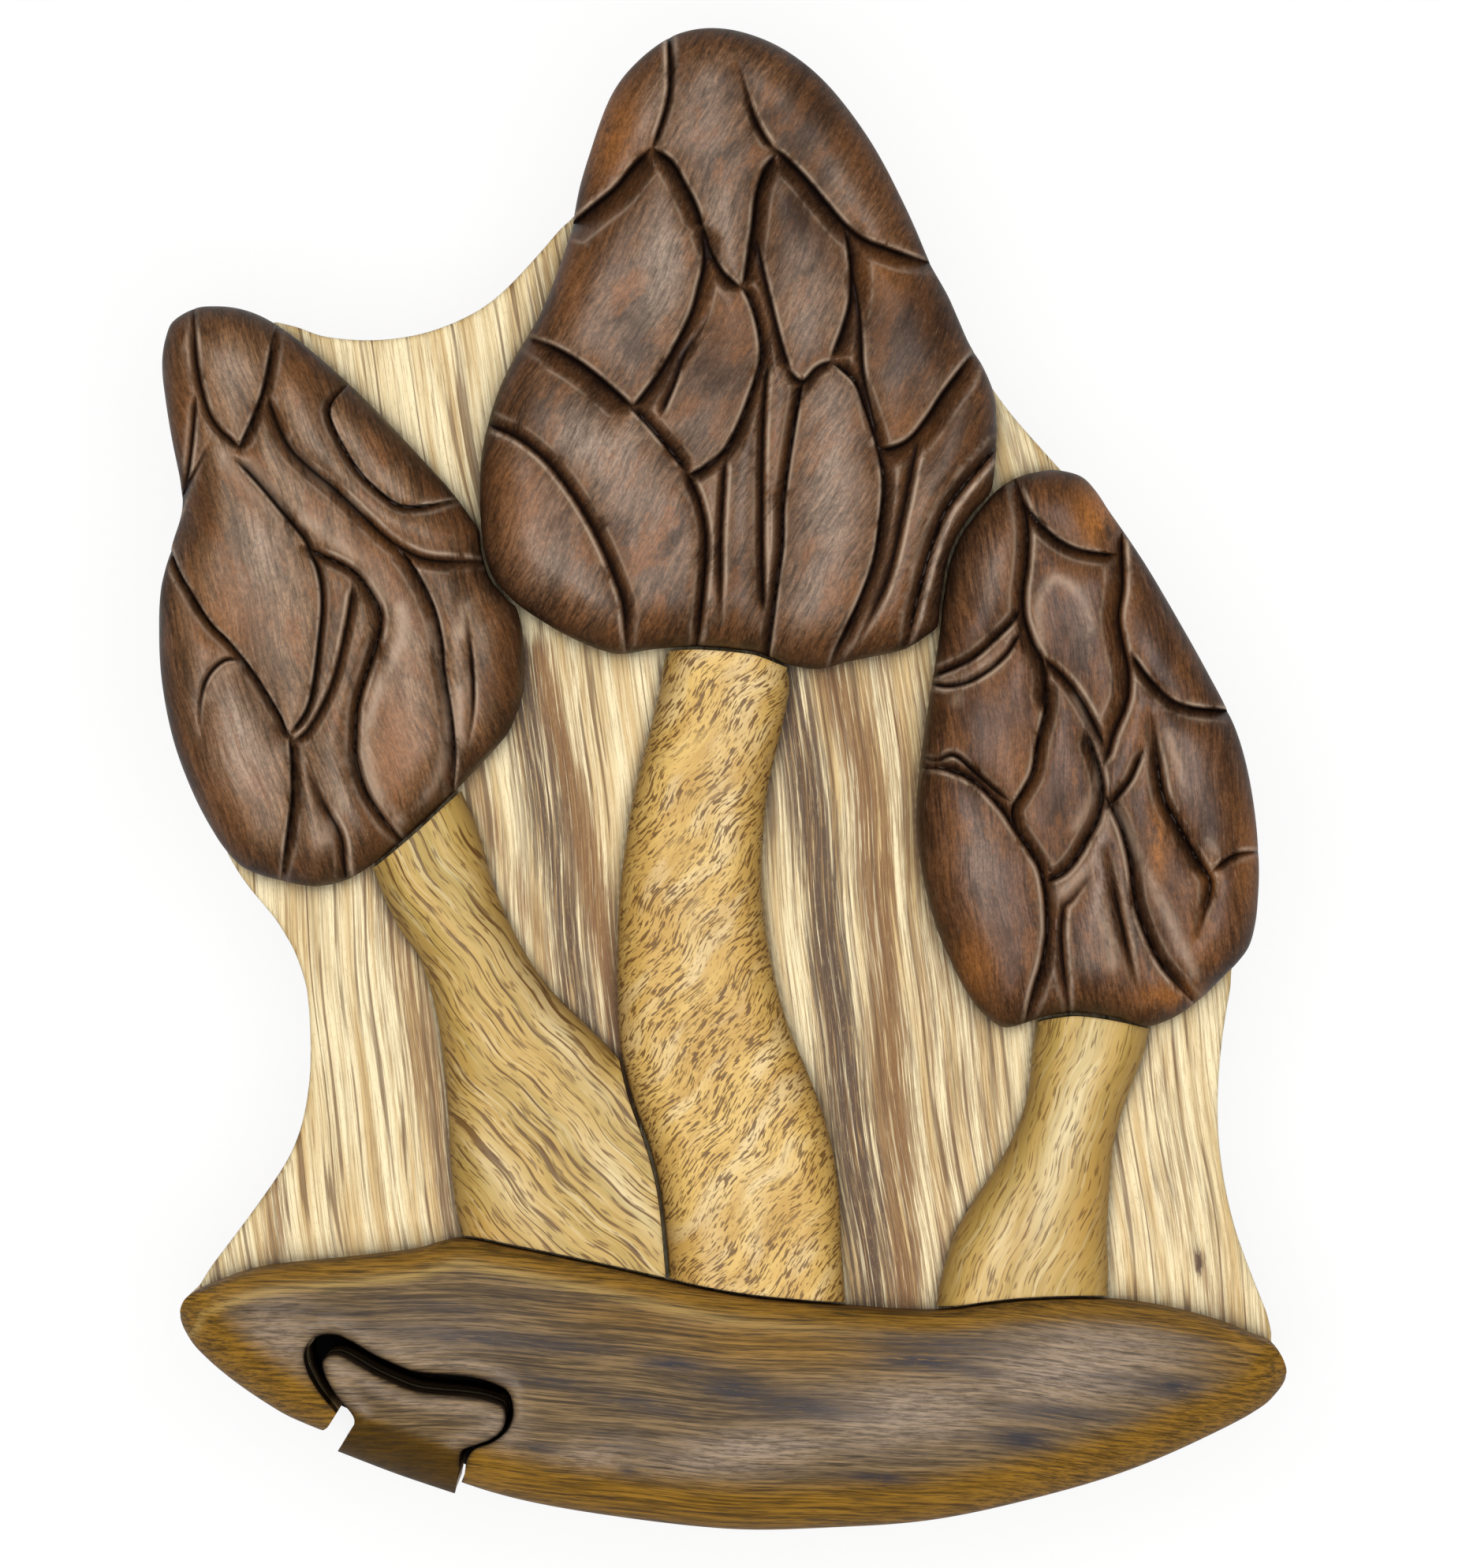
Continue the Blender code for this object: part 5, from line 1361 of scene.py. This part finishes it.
class PUZZLEBOX_OT_caps(bpy.types.Operator):
    """Carves the three caps"""

    bl_idname = "puzzle_box.caps"
    bl_label = "Carved caps"

    def execute(self, context):
        for side, wood, hair_length, cuts, angle, spread, shade in (
            ("center", "dark", 1.1, CENTER_CAP_CUTS, 62, 0.88, 1.0),
            ("left", "red", 2.4, LEFT_CAP_CUTS, 106, 0.66, 0.6),
            ("right", "plum", 2.0, RIGHT_CAP_CUTS, 96, 0.8, 0.85),
        ):
            flat = getattr(context.scene.puzzle_box_colors, side + "_cap")
            finish = walnut(wood + "_walnut_cap", flat, hair_length)
            self.cap("cap_" + side, cuts, finish, angle, spread, shade)
        return {"FINISHED"}

    def cap(self, node, table, finish, angle, spread, shade):
        """Carves one cap, with its grain at this angle in degrees.

        The spread is the share of the cuts' usual width, and the shade is how dark the painted
        shade beside them is.
        """
        sizes = bpy.context.scene.puzzle_box_sizes
        rim = outline(node)
        cuts = [Cut(*row, rim, spread) for row in table]
        for cut in cuts:
            cut.join(cuts, rim)
        low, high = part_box(node)

        def height(points):
            depths, nearest = np.zeros(len(points)), np.full(len(points), np.inf)
            dips = np.zeros(len(points))
            for cut in cuts:
                distance, width, full, lower = cut.beside(points)
                depths += cut.fall(distance, width, full, lower) ** 3
                nearest = np.minimum(nearest, distance)
                if cut.tuck:
                    reach = lower * np.clip(1 - distance / cut.tuck, 0, 1) ** 2
                    dips = np.maximum(dips, sizes.tuck_slope / 2 * cut.tuck * full * reach)
            domed = DOME * np.clip(1 - nearest / DOME_REACH, 0, 1) ** 2
            x, y = points.T / MM
            domed += SWELL * (1 + np.sin(x / 2.3 + y / 5) * np.sin(y / 2.9 - x / 7))
            edge = rounded(near_loop(points, rim), sizes.cap_width, sizes.cap_drop)
            return high.z - low.z - domed - edge - dips - np.cbrt(depths)

        piece = carve(node, rim, height, RINGS, cuts)
        places = places_of(piece)
        flat = places[:, :2]
        crease, arris = np.zeros((2, len(flat)))
        marks = {mark: spots(flat, rows) for mark, rows in CAP_PLACES.items()}
        # Painted shade along the rim, where the cap rounds away
        by_rim = 0.75 * np.clip(1.1 - near_loop(flat, rim) / (2.2 * MM), 0, 1)
        deep = np.maximum(marks.pop("deep"), by_rim)
        for strength, half, line in CAP_CRESTS[node]:
            arris = np.maximum(arris, strength * beside_line(flat, line, half))
        beside = [cut.beside(flat) for cut in cuts]
        falls = np.array([cut.fall(*where) for cut, where in zip(cuts, beside)])
        for number, cut in enumerate(cuts):
            distance, width, full, lower = beside[number]
            # Painted shade: a black crease along each cut, wider on its lower side
            black = np.where(lower, CREASE_HALF + 0.12 * width, CREASE_HALF)
            crease = np.maximum(crease, full * np.exp(-((distance / black) ** 2)))
            # A ridge beside each cut, pale with wear and a painted highlight, fainter on its lower
            # side
            ridge = (distance - cut.ridge(width, lower)) / RIDGE_HALF
            crossed = np.delete(falls, number, axis=0).max(axis=0) / (0.2 * MM)
            worn = full * np.exp(-(ridge**2) - crossed) * np.where(lower, 0.45, 1.0)
            arris = np.maximum(arris, worn)
            # Painted shade on the lower side of each cut, where it dips under the higher face
            reach = np.clip(1 - distance / (0.9 * MM + 0.6 * np.maximum(cut.tuck, width)), 0, 1)
            deep = np.maximum(deep, shade * full * lower * reach**1.2)
        # Painted shade on the steeper faces and the walls
        slope = np.clip(slopes_of(piece) / 0.6, 0, 1)
        slope[places[:, 2] <= low.z + WELD] = 1
        waves = ((0.4 * MM, 31 * MM, 0.4), (0.12 * MM, 9 * MM, 1.0))
        paint(piece, grain=grain(places, angle, waves=waves), crease=crease, arris=arris,
              slope=slope, deep=deep, **marks)
        stand_for(piece, node, finish)


class PUZZLEBOX_OT_stems(bpy.types.Operator):
    """Rounds the three stems"""

    bl_idname = "puzzle_box.stems"
    bl_label = "Stems"

    def execute(self, context):
        wavy = wavy_gold("wavy_gold_stem")
        olive = olive_gold("olive_gold_stems")
        curl = ((0.3 * MM, 9 * MM, 0.3), (0.1 * MM, 5 * MM, 2.0))
        long = ((0.3 * MM, 16 * MM, 0.8), (0.12 * MM, 6 * MM, 0.2))
        self.stem("stem_center", ("cap_center", "mound"), wavy, 52, 0.0, curl, 1.0, 90)
        neighbours = "stem_center", "cap_left", "mound"
        self.stem("stem_left", neighbours, olive, 128, 3.0, long, 1.0, 125)
        self.stem("stem_right", ("cap_right", "mound"), olive, 76, -2.4, long, 0.25, 74)
        return {"FINISHED"}

    def stem(self, node, neighbours, finish, angle, bend, waves, lined, lean):
        """Rounds one stem's free sides, away from its neighbours.

        Lined is how clearly its grain lines show, and lean is the way, in degrees, in which its
        pale and golden places are drawn out.
        """
        sizes = bpy.context.scene.puzzle_box_sizes
        rim = outline(node)
        low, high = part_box(node)
        starts, ends = rim, np.roll(rim, -1, axis=0)
        gaps = [near_loop((starts + ends) / 2, outline(other)) for other in neighbours]
        free = np.min(gaps, axis=0) > 0.6 * MM

        def height(points):
            nearness = near(points, starts[free], ends[free])
            return high.z - low.z - rounded(nearness, sizes.stem_width, sizes.stem_drop)

        piece = carve(node, rim, height, RINGS)
        places = places_of(piece)
        flat = places[:, :2]
        shadow = shade_beside(flat, neighbours, 0.2 * MM)
        # Painted shade on the rounded sides
        slope = np.clip(slopes_of(piece) / 0.85, 0, 1) ** 1.5
        tones = {name: spots(flat, table, lean) for name, table in STEM_PLACES[node].items()}
        paint(piece, grain=grain(places, angle, bend, waves), crease=0.8 * shadow, slope=slope,
              lined=np.full(len(flat), lined), **tones)
        stand_for(piece, node, finish)


def ground_height(points, top, rim, front, back=None):
    """The mound's top: broadly rounded in front, tightly behind, with a worn arris all round."""
    sizes = bpy.context.scene.puzzle_box_sizes
    fall = rounded(near_line(points, front), sizes.front_width, sizes.front_drop)
    if back is not None:
        behind = rounded(near(points, *back), sizes.lip_width, sizes.lip_drop)
        fall = np.maximum(fall, behind)
    arris = rounded(near_loop(points, rim), sizes.arris_width, sizes.arris_drop)
    return top - np.maximum(fall, arris)


def lower_hull(points):
    """The points that a taut string under them touches, from left to right."""
    kept = []
    for point in points[np.argsort(points[:, 0])]:
        while len(kept) > 1:
            first, second = kept[-1] - kept[-2], point - kept[-2]
            if first[0] * second[1] - first[1] * second[0] > 0:
                break
            kept.pop()
        kept.append(point)
    return np.array(kept)


def finish_ground(node, piece, rim, amber, deep, ridge, material):
    """Paints the mound's or the key's grain, smudges, sheen and edges."""
    places = places_of(piece)
    flat = places[:, :2]
    edge = near_loop(flat, rim)
    # A ring of painted highlight where the rim rounds over by the saw slot
    by_slot = np.exp(-(((edge - 1.1 * MM) / (0.7 * MM)) ** 2)) * in_slot(flat)
    waves = ((0.4 * MM, 48 * MM, 1.0), (0.1 * MM, 17 * MM, 0.0))
    # The satin marks, where the finish is smoother, carry a painted sheen
    paint(piece, grain=grain(places, -3.5, 0.4, waves), smudge=spots(flat, MOUND_SMUDGES, -5),
          satin=np.maximum(spots(flat, MOUND_SHEENS, 8), 0.6 * by_slot),
          slope=np.maximum(amber, spots(flat, MOUND_GOLD, -4)), deep=deep, arris=ridge,
          # Painted shade on the walls of the saw slot
          crease=0.85 * in_slot(flat) * np.exp(-edge / (0.2 * MM)))
    stand_for(piece, node, material)


class PUZZLEBOX_OT_mound(bpy.types.Operator):
    """Shapes the mound and the key's face, which is sawn from it"""

    bl_idname = "puzzle_box.mound"
    bl_label = "Mound and key face"

    def execute(self, context):
        sizes = context.scene.puzzle_box_sizes
        material = mound_olive("mound_olive_wood")
        rim = outline("mound", 60)
        low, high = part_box("mound")
        front = lower_hull(rim)
        tips = front[[0, -1]]
        at_back = rim[:, 1] > np.interp(rim[:, 0], tips[:, 0], tips[:, 1])
        back = rim[at_back], np.roll(rim, -1, axis=0)[at_back]

        def ground(points):
            return ground_height(points, high.z - low.z, rim, front, back)

        piece = carve("mound", rim, ground, GROUND_RINGS)
        flat = places_of(piece)[:, :2]
        # Amber on the front's rounding and on the back lip, partly painted shade where they fall
        # away
        amber = np.clip((5.2 * MM - near_line(flat, front)) / (2 * MM), 0, 1)
        behind = near(flat, *back)
        lip = 0.85 * np.clip((2.4 * MM - behind) / (1 * MM), 0, 1)
        fading = np.clip((16 * MM - flat[:, 0]) / (20 * MM), 0, 1)
        # The pale line along the back lip, worn and a painted highlight, fading towards the right
        ridge = fading * np.exp(-(((behind - 2.1 * MM) / (0.35 * MM)) ** 2))
        finish_ground("mound", piece, rim, np.maximum(amber, lip), 0 * amber, ridge, material)

        key_rim = outline("key_face", 65)
        edge = smooth(face(KEY_EDGE), sizes.line_fineness)
        key_low, key_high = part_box("key_face")

        def key_top(points):
            return ground_height(points, key_high.z - key_low.z, key_rim, edge)

        piece = carve("key_face", key_rim, key_top, GROUND_RINGS[:5])
        flat = places_of(piece)[:, :2]
        # Painted shade: the key's steep lower edge is dark
        deep = np.clip((4.6 * MM - near_line(flat, edge)) / (0.8 * MM), 0, 1)
        finish_ground("key_face", piece, key_rim, deep, deep, 0 * deep, material)
        return {"FINISHED"}


class PUZZLEBOX_OT_key(bpy.types.Operator):
    """Stacks the key's layers under its face"""

    bl_idname = "puzzle_box.key"
    bl_label = "Key layers"

    def execute(self, context):
        cream = context.scene.puzzle_box_colors.cream
        rim = outline("key_back", 65)
        sawn_board("key_back", [rim], bpy.data.materials["tan_plank"])
        core = sawn_board("key_core", [rim], bpy.data.materials["brown_plank"])
        sawn_board("key_panel_layer", [rim], plank("cream_plank", cream, 97))
        bore_side(core, "key_magnet", -1)
        return {"FINISHED"}


class PUZZLEBOX_OT_magnets(bpy.types.Operator):
    """Turns the disc magnets, with eased edges"""

    bl_idname = "puzzle_box.magnets"
    bl_label = "Magnets"

    def execute(self, context):
        metal = nickel_finish()
        for node in frame["nodes"]:
            if "magnet" in node:
                self.magnet(node, metal)
        return {"FINISHED"}

    def magnet(self, node, metal):
        low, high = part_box(node)
        spans = high - low
        sideways = spans.x < spans.z - WELD
        deselect()
        bpy.ops.mesh.primitive_cylinder_add(
            vertices=64, radius=spans.y / 2, depth=spans.x if sideways else spans.z,
            location=(low + high) / 2, rotation=(0, np.pi / 2 if sideways else 0, 0),
        )
        disc = bpy.context.object
        disc.name = "turned_" + node
        bpy.ops.object.transform_apply(location=True, rotation=True, scale=True)
        ease_edges(disc, bpy.context.scene.puzzle_box_sizes.magnet_edge, 3)
        stand_for(disc, node, metal)


class PUZZLEBOX_OT_stage(bpy.types.Operator):
    """Sets up the floor, the light and the camera"""

    bl_idname = "puzzle_box.stage"
    bl_label = "Stage"

    def execute(self, context):
        scene = context.scene
        stage = scene.puzzle_box_stage
        scene.view_settings.view_transform = "Standard"
        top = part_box("cap_center")[0].z
        eye = face([np.array(PHOTO_SIZE) / 2])[0]
        on_floor = eye + (face([*SLOT_SHADE, SLOT_MIDDLE]) - eye) * (1 + top / stage.distance)
        start, end, middle_of_slot = on_floor
        across_slot = np.array((start[1] - end[1], end[0] - start[0]))
        across_slot /= np.linalg.norm(across_slot)

        deselect()
        bpy.ops.mesh.primitive_plane_add(size=4, location=(0, 0, 0))
        floor = context.object
        floor.name = "floor"
        floor.data.materials.append(self.paper(middle_of_slot, start, across_slot))

        deselect()
        middle = (LOW + HIGH) / 2
        bpy.ops.object.light_add(type="AREA", location=(middle.x, middle.y, stage.lamp_height))
        lamp = context.object
        lamp.name = "overhead_lamp"
        lamp.data.size = stage.lamp_width
        lamp.data.energy = stage.lamp_power

        world = bpy.data.worlds.new("soft_room")
        world.use_nodes = True
        background = world.node_tree.nodes["Background"]
        background.inputs["Strength"].default_value = stage.fill
        scene.world = world

        deselect()
        bpy.ops.object.camera_add(location=(*eye, top + stage.distance), rotation=(0, 0, 0))
        camera = context.object
        camera.data.sensor_fit = "VERTICAL"
        camera.data.sensor_height = SENSOR
        camera.data.lens = SENSOR * stage.distance / stage.view_height
        scene.camera = camera
        return {"FINISHED"}

    def paper(self, middle_of_slot, start, across_slot):
        """A white floor that the camera sees as plain white with the box's faint shadow.

        Under the saw slot it is painted near black and does not glow: painted shade of the box.
        """
        paper = Finish("white_paper")
        paper.shader.inputs["Roughness"].default_value = 0.9
        rays = paper.add("LightPath", {}).outputs
        seen = paper.math("MAXIMUM", rays["Is Camera Ray"], rays["Is Glossy Ray"])
        seen = paper.math("MAXIMUM", seen, rays["Is Transmission Ray"])
        glow = paper.add("Emission", {"Color": (1, 1, 1, 1), "Strength": 1.0})
        place = paper.add("TexCoord", {}).outputs["Object"]

        def compare(operation, first, second):
            sources = {0: first, 1: (*second, 0)}
            return paper.add("VectorMath", sources, operation=operation).outputs

        reach = compare("DISTANCE", place, middle_of_slot)["Value"]
        offset = compare("SUBTRACT", place, start)["Vector"]
        above = compare("DOT_PRODUCT", offset, across_slot)["Value"]
        near_slot = paper.math("LESS_THAN", reach, SLOT_REACH)
        shaded = paper.product(near_slot, paper.math("GREATER_THAN", above, 0.0))
        # Painted shade: the paper under the saw slot is near black
        color = paper.mix(shaded, (0.9, 0.9, 0.9), (0.02, 0.02, 0.02))
        paper.tree.links.new(color, paper.shader.inputs["Base Color"])
        amount = paper.product(seen, paper.math("SUBTRACT", 1.0, shaded), 0.86)
        both = paper.add("MixShader", {0: amount, 1: paper.shader.outputs[0], 2: glow.outputs[0]})
        output = paper.tree.nodes["Material Output"]
        paper.tree.links.new(both.outputs[0], output.inputs["Surface"])
        return paper.material


class PUZZLEBOX_PT_panel(bpy.types.Panel):
    """Lists the pieces and the sizes, colours and stage that they are made with"""

    bl_label = "Puzzle Box"
    bl_idname = "PUZZLEBOX_PT_panel"
    bl_space_type = "VIEW_3D"
    bl_region_type = "UI"
    bl_category = "Puzzle Box"

    def draw(self, context):
        for operator in OPERATORS:
            self.layout.operator(operator.bl_idname)
        for group in SETTINGS:
            settings = getattr(context.scene, group)
            for name in settings.__annotations__:
                self.layout.prop(settings, name)


SETTINGS = {
    "puzzle_box_sizes": PuzzleBoxSizes,
    "puzzle_box_colors": PuzzleBoxColors,
    "puzzle_box_stage": PuzzleBoxStage,
}
OPERATORS = (
    PUZZLEBOX_OT_case,
    PUZZLEBOX_OT_lining,
    PUZZLEBOX_OT_lid_panel,
    PUZZLEBOX_OT_caps,
    PUZZLEBOX_OT_stems,
    PUZZLEBOX_OT_mound,
    PUZZLEBOX_OT_key,
    PUZZLEBOX_OT_magnets,
    PUZZLEBOX_OT_stage,
)
CLASSES = (*SETTINGS.values(), *OPERATORS, PUZZLEBOX_PT_panel)


def register():
    for new_class in CLASSES:
        bpy.utils.register_class(new_class)
    for name, group in SETTINGS.items():
        setattr(bpy.types.Scene, name, bpy.props.PointerProperty(type=group))


def unregister():
    for name in SETTINGS:
        delattr(bpy.types.Scene, name)
    for new_class in reversed(CLASSES):
        bpy.utils.unregister_class(new_class)


def main():
    """Makes every piece and the stage."""
    register()
    bpy.ops.puzzle_box.case()
    bpy.ops.puzzle_box.lining()
    bpy.ops.puzzle_box.lid_panel()
    bpy.ops.puzzle_box.caps()
    bpy.ops.puzzle_box.stems()
    bpy.ops.puzzle_box.mound()
    bpy.ops.puzzle_box.key()
    bpy.ops.puzzle_box.magnets()
    bpy.ops.puzzle_box.stage()


if __name__ == "__main__":
    main()
